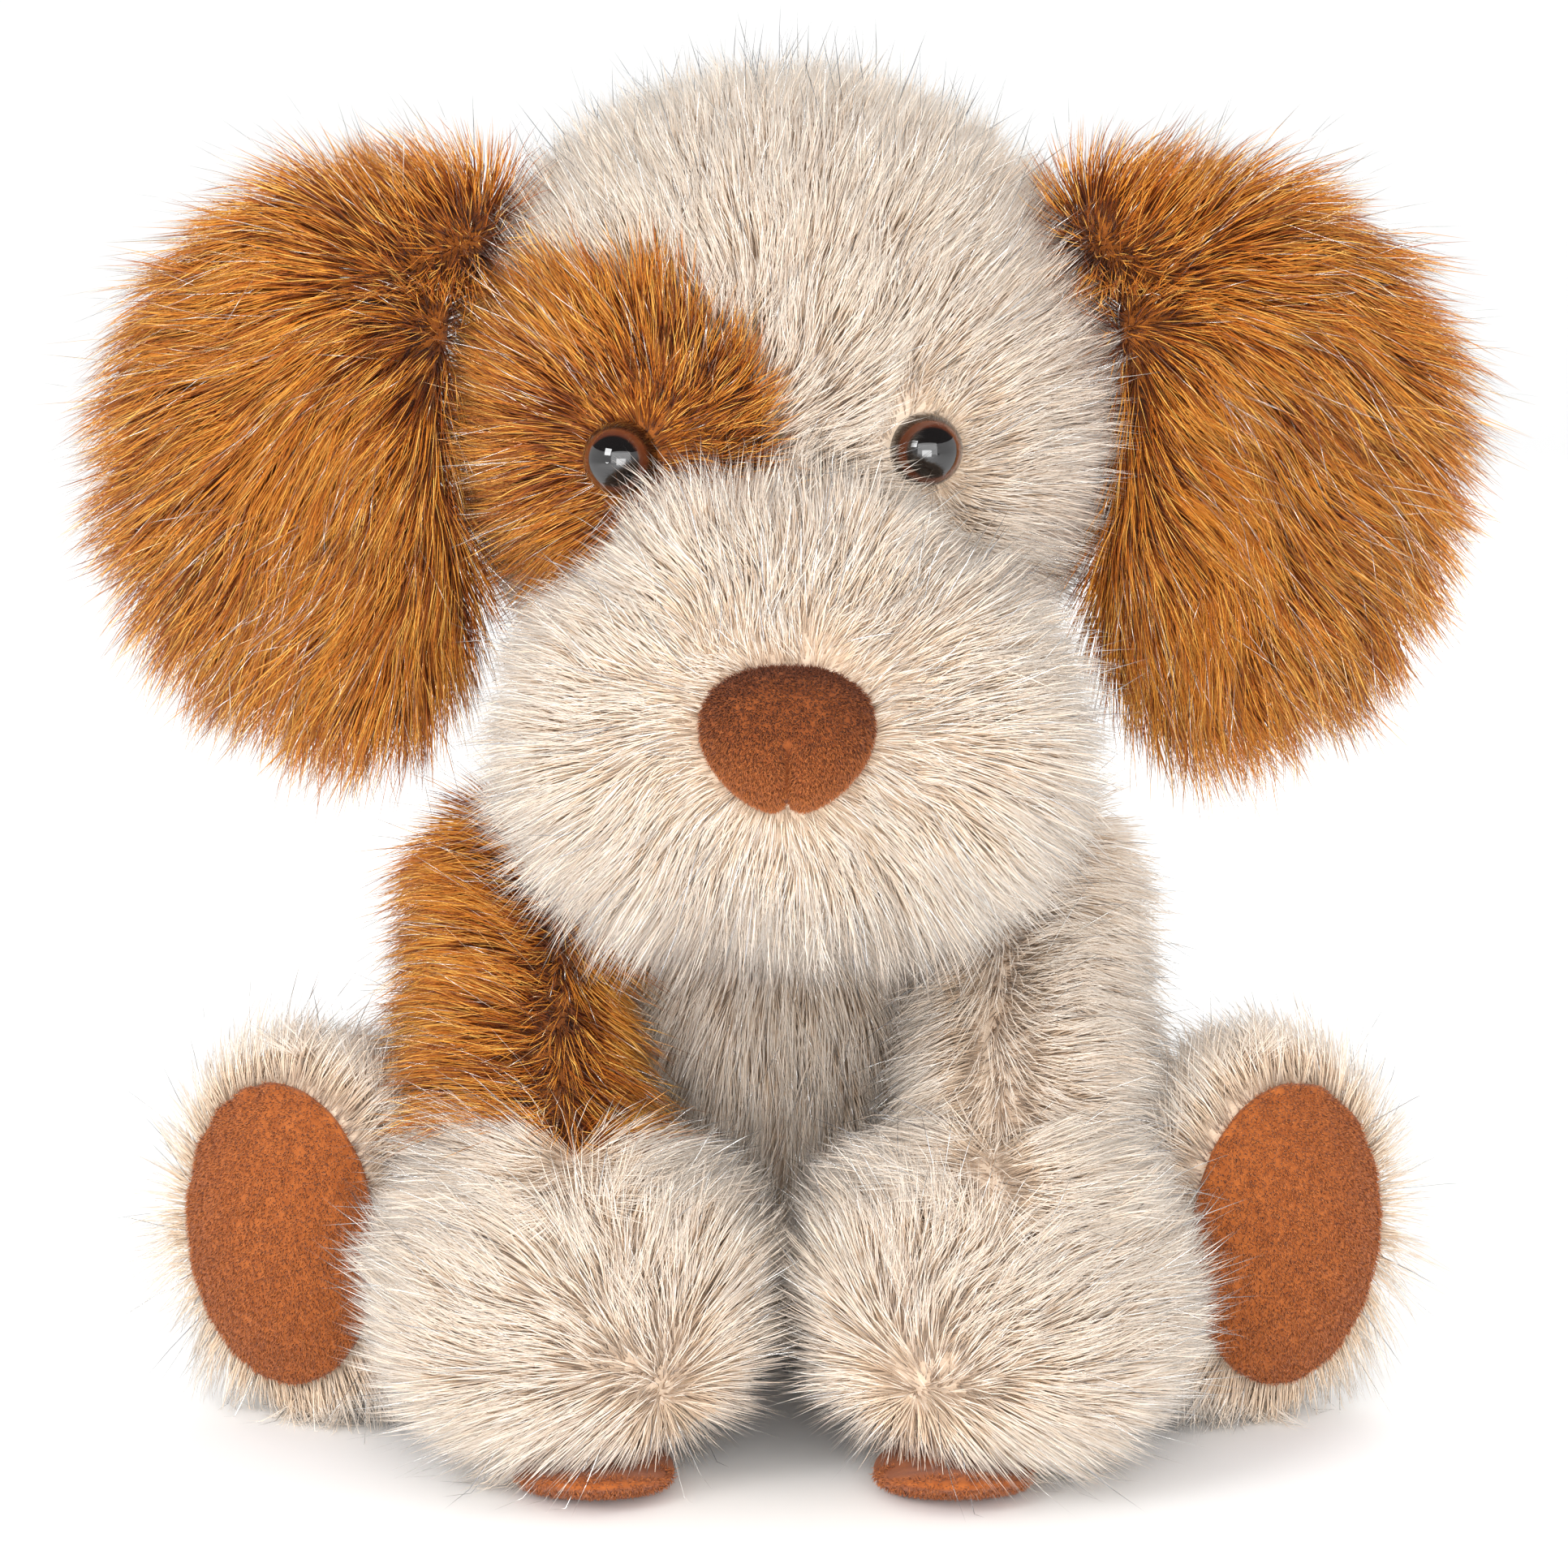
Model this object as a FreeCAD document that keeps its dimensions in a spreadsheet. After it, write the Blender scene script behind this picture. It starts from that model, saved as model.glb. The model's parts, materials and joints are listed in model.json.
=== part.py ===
"""Sitting plush dog: sewn fur panels over soft fillings, moulded eyes, soft joints that bend.

Millimetres, +Z up. The dog faces -Y, its own left side is +X. The origin is on the seat's flat
underside, below the neck's turning axis. A cover is the space that the backing cloth and its pile
take up together, so its outer face is the dense surface of the fur.
"""
import FreeCAD, Part
import Sketcher
import os
import re

DIMENSIONS = {
    # fur cover and running gaps
    "cover": 11.0,
    "gap": 0.6,
    # torso, a pear cut flat below and at the neck
    "torso_y": 8.0,
    "torso_z": 50.0,
    "torso_radius": 60.0,
    "chest_z": 64.0,
    "chest_radius": 58.0,
    "torso_top": 130.0,
    "torso_top_radius": 34.0,
    "seat_thickness": 8.0,
    "belly_edge_y": -14.0,
    "back_seam_x": 0.7,
    # neck, a ball of filling that both head and torso turn on
    "neck_z": 138.0,
    "neck_radius": 22.0,
    # head
    "head_y": -20.0,
    "head_z": 210.0,
    "head_radius": 71.0,
    "face_edge_y": -14.0,
    # brown patch round the right eye
    "patch_x": -34.0,
    "patch_z": 215.0,
    "patch_radius": 34.0,
    "patch_reach": 99.0,
    # muzzle
    "muzzle_x": 1.5,
    "muzzle_y": -93.0,
    "muzzle_z": 154.0,
    "muzzle_radius": 44.5,
    "muzzle_half_length": 17.0,
    # nose
    "nose_x": 0.6,
    "nose_y": -131.0,
    "nose_z": 158.0,
    "nose_rx": 16.5,
    "nose_ry": 11.0,
    "nose_rz": 13.75,
    "nose_cloth": 3.0,
    "nose_seam_x": 0.9,
    # eyes
    "eye_right_x": -33.0,
    "eye_left_x": 28.5,
    "eye_y": -73.0,
    "eye_right_z": 203.6,
    "eye_left_z": 205.3,
    "eye_yaw": 18.0,
    "eye_radius": 7.5,
    "eye_back": 1.5,
    "shank_radius": 2.2,
    "shank_length": 14.0,
    "washer_radius": 8.5,
    "washer_thickness": 1.3,
    "washer_depth": 5.2,
    # ears, flat pads that hang beside the head from a rounded root
    "ear_x": 102.0,
    "ear_y": -35.0,
    "ear_z": 198.0,
    "ear_rx": 42.0,
    "ear_ry": 11.0,
    "ear_rz": 68.0,
    "ear_root_x": 67.0,
    "ear_root_z": 247.0,
    "ear_root_radius": 13.0,
    "ear_root_length": 18.0,
    "ear_head_gap": 1.5,
    "ear_seam_y": -34.0,
    # front legs
    "shoulder_x": 48.0,
    "shoulder_y": -30.0,
    "shoulder_z": 108.0,
    "shoulder_radius": 20.0,
    "foreleg_tilt": 45.0,
    "foreleg_length": 98.0,
    "foreleg_end_radius": 24.5,
    "paw_x": 42.0,
    "paw_y": -99.0,
    "paw_z": 38.0,
    "paw_radius": 39.0,
    "foreleg_seam_z": 62.0,
    "foreleg_seam_x": 50.0,
    "foresole_y": -104.0,
    "foresole_rx": 21.0,
    "foresole_ry": 26.0,
    "foresole_thickness": 4.0,
    "foresole_gap": 1.0,
    # hind legs
    "hip_x": 48.0,
    "hip_y": 6.0,
    "hip_z": 37.0,
    "hip_radius": 33.0,
    "thigh_yaw": 39.4,
    "thigh_length": 72.5,
    "thigh_end_radius": 28.0,
    "foot_x": 94.0,
    "foot_y": -50.0,
    "foot_low_z": 29.0,
    "foot_high_z": 54.0,
    "foot_radius": 29.0,
    "foot_yaw": 30.0,
    "sole_reach": 24.0,
    "sole_z": 41.5,
    "sole_thickness": 6.0,
    "sole_half_width": 23.5,
    "sole_half_height": 31.0,
    "sole_edge": 2.5,
    # tail
    "tail_y": 60.0,
    "tail_z": 26.0,
    "tail_root_radius": 14.0,
    "tail_length": 36.0,
    "tail_end_radius": 11.0,
    "tail_rise": 15.0,
    "tail_cover": 7.7,
    "tail_gap": 1.6,
}

FAR = 800.0  # larger than the dog, for cutting boxes

DOC = FreeCAD.newDocument("PlushDog")


def make_sheet():
    """Put the driving dimensions in a spreadsheet, one alias for each."""
    sheet = DOC.addObject("Spreadsheet::Sheet", "dims")
    for row, (alias, value) in enumerate(DIMENSIONS.items(), start=1):
        sheet.set(f"A{row}", alias)
        sheet.set(f"B{row}", str(value))
        sheet.setAlias(f"B{row}", alias)
    DOC.recompute()


def bind(target, prop, formula, unit="mm"):
    """Bind a property to a formula in the sheet's aliases."""
    words = re.sub(r"[a-z_]{3,}", lambda m: "dims." + m[0] if m[0] in DIMENSIONS else m[0], formula)
    target.setExpression(prop, f"({words}) * 1 {unit}")


def place(target, centre, yaw="0", roll="0"):
    """Bind a place and its turns: roll about X first, then yaw about Z."""
    for axis, formula in zip("xyz", centre):
        bind(target, f"Placement.Base.{axis}", formula)
    if roll != "0":
        bind(target, "Placement.Rotation.Roll", roll, "deg")
    if yaw != "0":
        bind(target, "Placement.Rotation.Yaw", yaw, "deg")


def primitive(kind, name, sizes, centre, yaw="0", roll="0"):
    """A Part primitive with its sizes and place bound to the sheet."""
    solid = DOC.addObject("Part::" + kind, name)
    for prop, formula in sizes.items():
        bind(solid, prop, formula)
    place(solid, centre, yaw, roll)
    return solid


def ellipsoid(name, centre, radii, yaw="0"):
    """An ellipsoid with radii along X, Y and Z."""
    radius_x, radius_y, radius_z = radii
    sizes = {"Radius1": radius_z, "Radius2": radius_x, "Radius3": radius_y}
    return primitive("Ellipsoid", name, sizes, centre, yaw)


def sphere(name, centre, radius):
    return primitive("Sphere", name, {"Radius": radius}, centre)


def cone(name, base, radii, length, yaw="0", roll="0"):
    """A cone from its base centre along its own Z, turned by roll and yaw."""
    sizes = {"Radius1": radii[0], "Radius2": radii[1], "Height": length}
    return primitive("Cone", name, sizes, base, yaw, roll)


def cylinder(name, base, radius, length, yaw="0", roll="0"):
    sizes = {"Radius": radius, "Height": length}
    return primitive("Cylinder", name, sizes, base, yaw, roll)


def box(name, corner, size):
    sizes = dict(zip(("Length", "Width", "Height"), size))
    return primitive("Box", name, sizes, corner)


def side_box(name, axis, formula, above):
    """A box that holds everything above, or below, a plane across one axis."""
    corner = [str(-FAR / 2)] * 3
    corner["XYZ".index(axis)] = formula if above else f"{formula} - {FAR}"
    return box(name, corner, [str(FAR)] * 3)


def fuse(name, *shapes):
    joined = DOC.addObject("Part::MultiFuse", name)
    joined.Shapes = list(shapes)
    return joined


def common(name, first, second):
    shared = DOC.addObject("Part::Common", name)
    shared.Base = first
    shared.Tool = second
    return shared


def cut(name, base, *tools):
    """Cut one or more tools from a base; the last cut carries the name."""
    for index, tool in enumerate(tools, start=1):
        last = index == len(tools)
        result = DOC.addObject("Part::Cut", name if last else f"{name}_cut{index}")
        result.Base = base
        result.Tool = tool
        base = result
    return base


def body_plane(body, role):
    """One of a body's own origin planes."""
    return next(f for f in body.Origin.OriginFeatures if f.Role == role)


def turned_body(name, lines, radii, levels):
    """A PartDesign body turned about Z from a closed profile of straight lines.

    Each profile point is a radius formula and a level formula; a construction-free sketch on the
    XZ plane holds them as named constraints, so the sheet drives the profile.
    """
    body = DOC.addObject("PartDesign::Body", name)
    sketch = body.newObject("Sketcher::SketchObject", name + "_profile")
    sketch.AttachmentSupport = (body_plane(body, "XZ_Plane"), [""])
    sketch.MapMode = "FlatFace"
    count = len(lines)
    for index in range(count):
        start = FreeCAD.Vector(*lines[index], 0)
        end = FreeCAD.Vector(*lines[(index + 1) % count], 0)
        sketch.addGeometry(Part.LineSegment(start, end))
    for index in range(count):
        following = (index + 1) % count
        sketch.addConstraint(Sketcher.Constraint("Coincident", index, 2, following, 1))
    for index, (radius, level) in enumerate(zip(radii, levels)):
        for kind, formula, value in (("X", radius, lines[index][0]), ("Y", level, lines[index][1])):
            number = sketch.addConstraint(
                Sketcher.Constraint("Distance" + kind, -1, 1, index, 1, value)
            )
            sketch.renameConstraint(number, f"point{index}{kind}")
            bind(sketch, f"Constraints.point{index}{kind}", formula)
    turn = body.newObject("PartDesign::Revolution", name + "_turned")
    turn.Profile = sketch
    turn.ReferenceAxis = (sketch, ["V_Axis"])
    turn.Angle = 360
    body.Tip = turn
    return body


def oval_body(name, half_width, half_height, thickness):
    """A PartDesign body: an oval in its own XY plane, longer along Y, padded along +Z, edge rounded."""
    body = DOC.addObject("PartDesign::Body", name)
    sketch = body.newObject("Sketcher::SketchObject", name + "_outline")
    sketch.AttachmentSupport = (body_plane(body, "XY_Plane"), [""])
    sketch.MapMode = "FlatFace"
    across = DIMENSIONS[half_width]
    along = DIMENSIONS[half_height]
    top = FreeCAD.Vector(0, along, 0)
    side = FreeCAD.Vector(across, 0, 0)
    sketch.addGeometry(Part.Ellipse(top, side, FreeCAD.Vector(0, 0, 0)))
    sketch.exposeInternalGeometry(0)
    sketch.addConstraint(Sketcher.Constraint("Coincident", 0, 3, -1, 1))
    sketch.addConstraint(Sketcher.Constraint("Vertical", 1))
    for line, label, formula in ((1, "height", half_height), (2, "width", half_width)):
        number = sketch.addConstraint(
            Sketcher.Constraint("Distance", line, 2 * DIMENSIONS[formula])
        )
        sketch.renameConstraint(number, label)
        bind(sketch, f"Constraints.{label}", f"2 * {formula}")
    pad = body.newObject("PartDesign::Pad", name + "_pad")
    pad.Profile = sketch
    bind(pad, "Length", thickness)
    DOC.recompute()
    front = max(range(len(pad.Shape.Edges)), key=lambda i: pad.Shape.Edges[i].CenterOfMass.z)
    rounded = body.newObject("PartDesign::Fillet", name + "_edge")
    rounded.Base = (pad, [f"Edge{front + 1}"])
    bind(rounded, "Radius", "sole_edge")
    body.Tip = rounded
    return body


def torso_envelope(name, inset):
    """The torso's pear, smaller all round by an inset."""
    ball = sphere(name + "_ball", ("0", "torso_y", "torso_z"), f"torso_radius - {inset}")
    radii = (f"chest_radius - {inset}", f"torso_top_radius - {inset}")
    chest = cone(name + "_chest", ("0", "torso_y", "chest_z"), radii, "torso_top - chest_z")
    return fuse(name, ball, chest)


def muzzle_envelope(name, inset):
    """The muzzle: two balls side by side and the barrel between them, smaller by an inset."""
    radius = f"muzzle_radius - {inset}"
    balls = []
    for side, sign in (("left", "+"), ("right", "-")):
        centre = (f"muzzle_x {sign} muzzle_half_length", "muzzle_y", "muzzle_z")
        balls.append(sphere(f"{name}_{side}", centre, radius))
    start = ("muzzle_x - muzzle_half_length", "muzzle_y", "muzzle_z")
    barrel = cylinder(name + "_barrel", start, radius, "2 * muzzle_half_length", "90", "90")
    return fuse(name, *balls, barrel)


def foreleg_envelope(name, side, inset):
    """One front leg: shoulder ball, tapering leg and paw, smaller all round by an inset."""
    sign = "-" if side == "right" else ""
    base = (f"{sign}shoulder_x", "shoulder_y", "shoulder_z")
    ball = sphere(name + "_ball", base, f"shoulder_radius - {inset}")
    radii = (f"shoulder_radius - {inset}", f"foreleg_end_radius - {inset}")
    leg = cone(name + "_leg", base, radii, "foreleg_length", roll="180 - foreleg_tilt")
    centre = (f"{sign}paw_x", "paw_y", "paw_z")
    paw = sphere(name + "_paw", centre, f"paw_radius - {inset}")
    return fuse(name, ball, leg, paw)


def hindleg_envelope(name, side, inset):
    """One hind leg: hip ball, thigh and foot, smaller all round by an inset."""
    sign, turn = ("-", "-") if side == "right" else ("", "")
    base = (f"{sign}hip_x", "hip_y", "hip_z")
    ball = sphere(name + "_ball", base, f"hip_radius - {inset}")
    radii = (f"hip_radius - {inset}", f"thigh_end_radius - {inset}")
    thigh = cone(name + "_thigh", base, radii, "thigh_length", f"{turn}thigh_yaw", "90")
    radius = f"foot_radius - {inset}"
    low = (f"{sign}foot_x", "foot_y", "foot_low_z")
    high = (f"{sign}foot_x", "foot_y", "foot_high_z")
    heel = sphere(name + "_heel", low, radius)
    toe = sphere(name + "_toe", high, radius)
    foot = cylinder(name + "_foot", low, radius, "foot_high_z - foot_low_z")
    return fuse(name, ball, thigh, heel, foot, toe)


def tail_envelope(name, inset):
    """The tail: root ball and a short tapering tail that rises to the rear."""
    base = ("0", "tail_y", "tail_z")
    ball = sphere(name + "_ball", base, f"tail_root_radius - {inset}")
    radii = (f"tail_root_radius - {inset}", f"tail_end_radius - {inset}")
    stem = cone(name + "_stem", base, radii, "tail_length", roll="tail_rise - 90")
    reach = "tail_y + tail_length * cos(tail_rise * 1 deg)"
    rise = "tail_z + tail_length * sin(tail_rise * 1 deg)"
    tip = sphere(name + "_tip", ("0", reach, rise), f"tail_end_radius - {inset}")
    return fuse(name, ball, stem, tip)


def above_floor(name, shape, floor):
    return common(name, shape, side_box(name + "_floor", "Z", floor, True))


def make_torso():
    """Torso panels and filling, with room for the joints round them."""
    grown = "(0 - gap)"
    sunk = "(0 - cover)"
    tools = {}
    for label, inset, tail_inset in (("outer", grown, "(0 - tail_gap)"), ("inner", sunk, sunk)):
        neck = sphere(f"neck_room_{label}", ("0", "0", "neck_z"), f"neck_radius - {inset}")
        tools[label] = [neck, tail_envelope(f"tail_room_{label}", tail_inset)]
        for side in ("left", "right"):
            tools[label].append(foreleg_envelope(f"foreleg_{side}_room_{label}", side, inset))
            tools[label].append(hindleg_envelope(f"hindleg_{side}_room_{label}", side, inset))
    outer = torso_envelope("torso_pear", "0")
    outer = common("torso_topped", outer, side_box("torso_lid", "Z", "torso_top", False))
    outer = above_floor("torso_outer", outer, "0")
    outer = cut("torso_form", outer, *tools["outer"])
    inner = torso_envelope("torso_inner_pear", "cover")
    lid = side_box("filling_lid", "Z", "torso_top - cover", False)
    inner = common("torso_inner_topped", inner, lid)
    inner = above_floor("torso_inner", inner, "seat_thickness")
    inner = cut("torso_filling", inner, *tools["inner"])
    cover = cut("torso_cover", outer, inner)
    seat = side_box("seat_side", "Z", "seat_thickness", False)
    front = side_box("belly_side", "Y", "belly_edge_y", False)
    upper = cut("torso_upper_cover", cover, seat)
    rear = cut("torso_rear_cover", upper, front)
    left = side_box("left_side", "X", "back_seam_x", True)
    return {
        "seat_panel": common("seat_panel", cover, seat),
        "belly_panel": common("belly_panel", upper, front),
        "back_panel_left": common("back_panel_left", rear, left),
        "back_panel_right": cut("back_panel_right", rear, left),
        "torso_filling": inner,
    }


def make_neck():
    """The neck: a loose ball of filling between torso and head."""
    return {"neck_filling": sphere("neck_filling", ("0", "0", "neck_z"), "neck_radius")}


def make_eye(side):
    """One eye: glossy dome, coloured back moulded with its shank, and the lock washer."""
    sign = "-" if side == "right" else ""
    centre = (f"eye_{side}_x", "eye_y", f"eye_{side}_z")
    yaw = f"{sign}eye_yaw"
    dome = primitive("Sphere", f"eye_{side}_dome", {"Radius": "eye_radius"}, centre, yaw, "90")
    dome.Angle1 = 0

    rim = DIMENSIONS["eye_radius"]
    shank = DIMENSIONS["shank_radius"]
    back_z = -DIMENSIONS["eye_back"]
    end_z = -DIMENSIONS["shank_length"]
    points = [(0, 0), (rim, 0), (rim, back_z), (shank, back_z), (shank, end_z), (0, end_z)]
    names = ("0", "eye_radius", "eye_radius", "shank_radius", "shank_radius", "0")
    levels = ("0", "0", "0 - eye_back", "0 - eye_back", "0 - shank_length", "0 - shank_length")
    back = turned_body(f"eye_{side}_back", points, names, levels)
    place(back, centre, yaw, "90")

    rim = DIMENSIONS["washer_radius"]
    high_z = -DIMENSIONS["washer_depth"]
    low_z = high_z - DIMENSIONS["washer_thickness"]
    points = [(shank, low_z), (rim, low_z), (rim, high_z), (shank, high_z)]
    names = ("shank_radius", "washer_radius", "washer_radius", "shank_radius")
    low = "0 - washer_depth - washer_thickness"
    levels = (low, low, "0 - washer_depth", "0 - washer_depth")
    washer = turned_body(f"eye_{side}_washer", points, names, levels)
    place(washer, centre, yaw, "90")

    reach = f"{sign}sin(eye_yaw * 1 deg)"
    start = (
        f"eye_{side}_x - eye_back * ({reach})",
        "eye_y + eye_back * cos(eye_yaw * 1 deg)",
        f"eye_{side}_z",
    )
    well = cylinder(f"eye_{side}_well", start, "eye_radius", "4 * eye_radius", yaw, "90")
    pieces = {
        f"eye_{side}_dome": dome,
        f"eye_{side}_back": back,
        f"eye_{side}_washer": washer,
    }
    return pieces, well


def make_head():
    """Head and muzzle covers, their fillings, the nose and both eyes."""
    outer = sphere("head_form", ("0", "head_y", "head_z"), "head_radius")
    inner = sphere("head_filling_form", ("0", "head_y", "head_z"), "head_radius - cover")
    muzzle = muzzle_envelope("muzzle_form", "0")
    muzzle_inner = muzzle_envelope("muzzle_filling_form", "cover")
    centre = ("nose_x", "nose_y", "nose_z")
    nose = ellipsoid("nose_form", centre, ("nose_rx", "nose_ry", "nose_rz"))
    radii = [f"nose_r{axis} - nose_cloth" for axis in "xyz"]
    nose_inner = ellipsoid("nose_filling_form", centre, radii)

    room = {}
    for label, extra in (("outer", "gap"), ("inner", "cover")):
        centre = ("0", "0", "neck_z")
        ball = sphere(f"head_neck_room_{label}", centre, f"neck_radius + {extra}")
        roots = []
        for side, sign in (("left", ""), ("right", "-")):
            start = (f"{sign}ear_root_x", "ear_y + ear_root_length / 2 + " + extra, "ear_root_z")
            radius = f"ear_root_radius + {extra}"
            length = f"ear_root_length + 2 * {extra}"
            roots.append(cylinder(f"ear_{side}_room_{label}", start, radius, length, roll="90"))
        room[label] = [ball, *roots]

    pieces = {}
    wells = []
    eyes = []
    for side in ("left", "right"):
        parts, well = make_eye(side)
        pieces.update(parts)
        wells.append(well)
        eyes.extend([parts[f"eye_{side}_back"], parts[f"eye_{side}_washer"]])

    filling = cut("head_filling", inner, *room["inner"], *wells, *eyes)
    cover = cut("head_cover", outer, filling, *room["outer"], *wells, *eyes)
    start = ("patch_x", "face_edge_y", "patch_z")
    disc = cylinder("patch_disc", start, "patch_radius", "patch_reach", roll="90")
    front = side_box("face_side", "Y", "face_edge_y", False)
    face = common("head_face", cover, front)
    pieces["face_panel"] = cut("face_panel", face, disc)
    pieces["eye_patch"] = common("eye_patch", face, disc)
    pieces["back_of_head_panel"] = cut("back_of_head_panel", cover, front)
    pieces["head_filling"] = filling
    shell = cut("muzzle_shell", muzzle, muzzle_inner)
    pieces["muzzle_cover"] = cut("muzzle_cover", shell, outer, nose)
    pieces["muzzle_filling"] = cut("muzzle_filling", muzzle_inner, outer)
    nose_shell = cut("nose_shell", nose, nose_inner, muzzle_inner)
    half = side_box("nose_left_side", "X", "nose_seam_x", True)
    pieces["nose_panel_left"] = common("nose_panel_left", nose_shell, half)
    pieces["nose_panel_right"] = cut("nose_panel_right", nose_shell, half)
    pieces["nose_filling"] = cut("nose_filling", nose_inner, muzzle_inner)
    return pieces


def make_ear(side):
    """One ear: a pad beside the head on a rounded root, in a front and a back panel."""
    sign = "-" if side == "right" else ""
    centre = (f"{sign}ear_x", "ear_y", "ear_z")
    pad = ellipsoid(f"ear_{side}_pad", centre, ("ear_rx", "ear_ry", "ear_rz"))
    centre = ("0", "head_y", "head_z")
    room = sphere(f"ear_{side}_head_room", centre, "head_radius + ear_head_gap")
    flap = cut(f"ear_{side}_flap", pad, room)
    start = (f"{sign}ear_root_x", "ear_y + ear_root_length / 2", "ear_root_z")
    root = cylinder(f"ear_{side}_root", start, "ear_root_radius", "ear_root_length", roll="90")
    ear = fuse(f"ear_{side}", flap, root)
    front = side_box(f"ear_{side}_front_side", "Y", "ear_seam_y", False)
    return {
        f"ear_{side}_front_panel": common(f"ear_{side}_front_panel", ear, front),
        f"ear_{side}_back_panel": cut(f"ear_{side}_back_panel", ear, front),
    }


def make_foreleg(side):
    """One front leg: cover in two panels, filling and sole."""
    sign = "-" if side == "right" else ""
    name = f"front_leg_{side}"
    outer = above_floor(name + "_form", foreleg_envelope(name + "_outer", side, "0"), "0")
    inner = foreleg_envelope(name + "_inner", side, "cover")
    inner = above_floor(name + "_filling", inner, "foresole_thickness + foresole_gap")
    disc = primitive(
        "Ellipsoid",
        name + "_sole_disc",
        {"Radius1": "foresole_thickness", "Radius2": "foresole_rx", "Radius3": "foresole_ry"},
        (f"{sign}paw_x", "foresole_y", "0"),
    )
    sole = common(name + "_sole", outer, disc)
    cover = cut(name + "_cover", outer, inner, disc)
    pieces = {f"{name}_filling": inner, f"{name}_sole": sole}
    if side == "right":
        upper = side_box(name + "_upper_side", "Z", "foreleg_seam_z", True)
        pieces["shoulder_panel_right"] = common("shoulder_panel_right", cover, upper)
        pieces["front_leg_right_lower_panel"] = cut("front_leg_right_lower_panel", cover, upper)
    else:
        outside = side_box(name + "_outside", "X", "foreleg_seam_x", True)
        pieces["front_leg_left_outer_panel"] = common("front_leg_left_outer_panel", cover, outside)
        pieces["front_leg_left_inner_panel"] = cut("front_leg_left_inner_panel", cover, outside)
    return pieces


def make_hindleg(side):
    """One hind leg: cover, filling and the large oval sole on the front of the foot."""
    sign = "-" if side == "right" else ""
    name = f"hind_leg_{side}"
    outer = above_floor(name + "_form", hindleg_envelope(name + "_outer", side, "0"), "0")
    inner = hindleg_envelope(name + "_filling_form", side, "cover")
    pad = oval_body(name + "_sole", "sole_half_width", "sole_half_height", "sole_thickness")
    centre = (
        f"{sign}(foot_x + sole_reach * sin(foot_yaw * 1 deg))",
        "foot_y - sole_reach * cos(foot_yaw * 1 deg)",
        "sole_z",
    )
    place(pad, centre, f"{sign}foot_yaw", "90")
    return {
        f"{name}_cover": cut(f"{name}_cover", outer, inner, pad),
        f"{name}_filling": cut(f"{name}_filling", inner, pad),
        f"{name}_sole": pad,
    }


def make_tail():
    """The tail: cover and filling; its pile is shorter than elsewhere."""
    outer = tail_envelope("tail_form", "0")
    inner = tail_envelope("tail_filling", "tail_cover")
    return {"tail_cover": cut("tail_cover", outer, inner), "tail_filling": inner}


def export(pieces):
    """Label every piece, check the whole document and write one STEP file a piece."""
    for node, piece in pieces.items():
        piece.Label = node
    DOC.recompute()
    for feature in DOC.Objects:
        bad = [word for word in feature.State if word in ("Invalid", "Error")]
        if bad:
            raise RuntimeError(f"{feature.Name} failed: {bad}")
    for node, piece in pieces.items():
        if piece.Shape.isNull() or not piece.Shape.isValid():
            raise RuntimeError(f"{node} has no valid shape")
    os.makedirs("parts", exist_ok=True)
    for node, piece in pieces.items():
        piece.Shape.exportStep(f"parts/{node}.step")
        solids = piece.Shape.Solids
        volume = piece.Shape.Volume / 1000
        print(f"{node}: {len(solids)} solid, {volume:.1f} cm3, {piece.Shape.BoundBox}")


def main():
    make_sheet()
    pieces = {}
    pieces.update(make_torso())
    pieces.update(make_neck())
    pieces.update(make_head())
    for side in ("left", "right"):
        pieces.update(make_ear(side))
        pieces.update(make_foreleg(side))
        pieces.update(make_hindleg(side))
    pieces.update(make_tail())
    export(pieces)


main()
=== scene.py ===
"""Sitting plush dog: sewn skins, long pile, tinsel, eyes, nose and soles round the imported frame.

Metres, +Z up, the dog faces -Y and its own left side is +X.
"""
import json
import math

import bmesh
import bpy
import numpy as np
from mathutils import Matrix, Vector
from mathutils.kdtree import KDTree


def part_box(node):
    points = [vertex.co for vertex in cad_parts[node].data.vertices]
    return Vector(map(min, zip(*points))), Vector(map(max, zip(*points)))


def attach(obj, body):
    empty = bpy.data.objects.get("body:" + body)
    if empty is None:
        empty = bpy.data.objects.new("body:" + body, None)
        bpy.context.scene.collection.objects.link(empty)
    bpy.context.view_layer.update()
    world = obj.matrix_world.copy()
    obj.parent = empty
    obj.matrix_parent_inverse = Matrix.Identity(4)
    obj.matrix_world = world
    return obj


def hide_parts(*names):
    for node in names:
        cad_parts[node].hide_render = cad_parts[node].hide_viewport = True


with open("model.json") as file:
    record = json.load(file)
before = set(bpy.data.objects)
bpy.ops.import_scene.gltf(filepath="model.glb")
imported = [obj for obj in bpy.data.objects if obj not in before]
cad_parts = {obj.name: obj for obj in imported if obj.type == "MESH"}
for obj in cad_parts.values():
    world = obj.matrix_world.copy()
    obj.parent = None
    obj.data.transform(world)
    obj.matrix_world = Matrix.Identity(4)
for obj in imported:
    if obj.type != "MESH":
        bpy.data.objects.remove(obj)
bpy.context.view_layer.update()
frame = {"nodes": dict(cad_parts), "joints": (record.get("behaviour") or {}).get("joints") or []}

MM = 0.001
PILE = 10 * MM                      # depth of the dense pile over the backing cloth
THIN_OUT = 1
SIDES = {"left": 1, "right": -1}


# ---------------------------------------------------------------- places, all read from the frame

def span(*nodes):
    """Lowest and highest corner of some CAD nodes together, as arrays."""
    corners = [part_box(node) for node in nodes]
    low = np.min([np.array(low) for low, high in corners], axis=0)
    high = np.max([np.array(high) for low, high in corners], axis=0)
    return low, high


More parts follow.
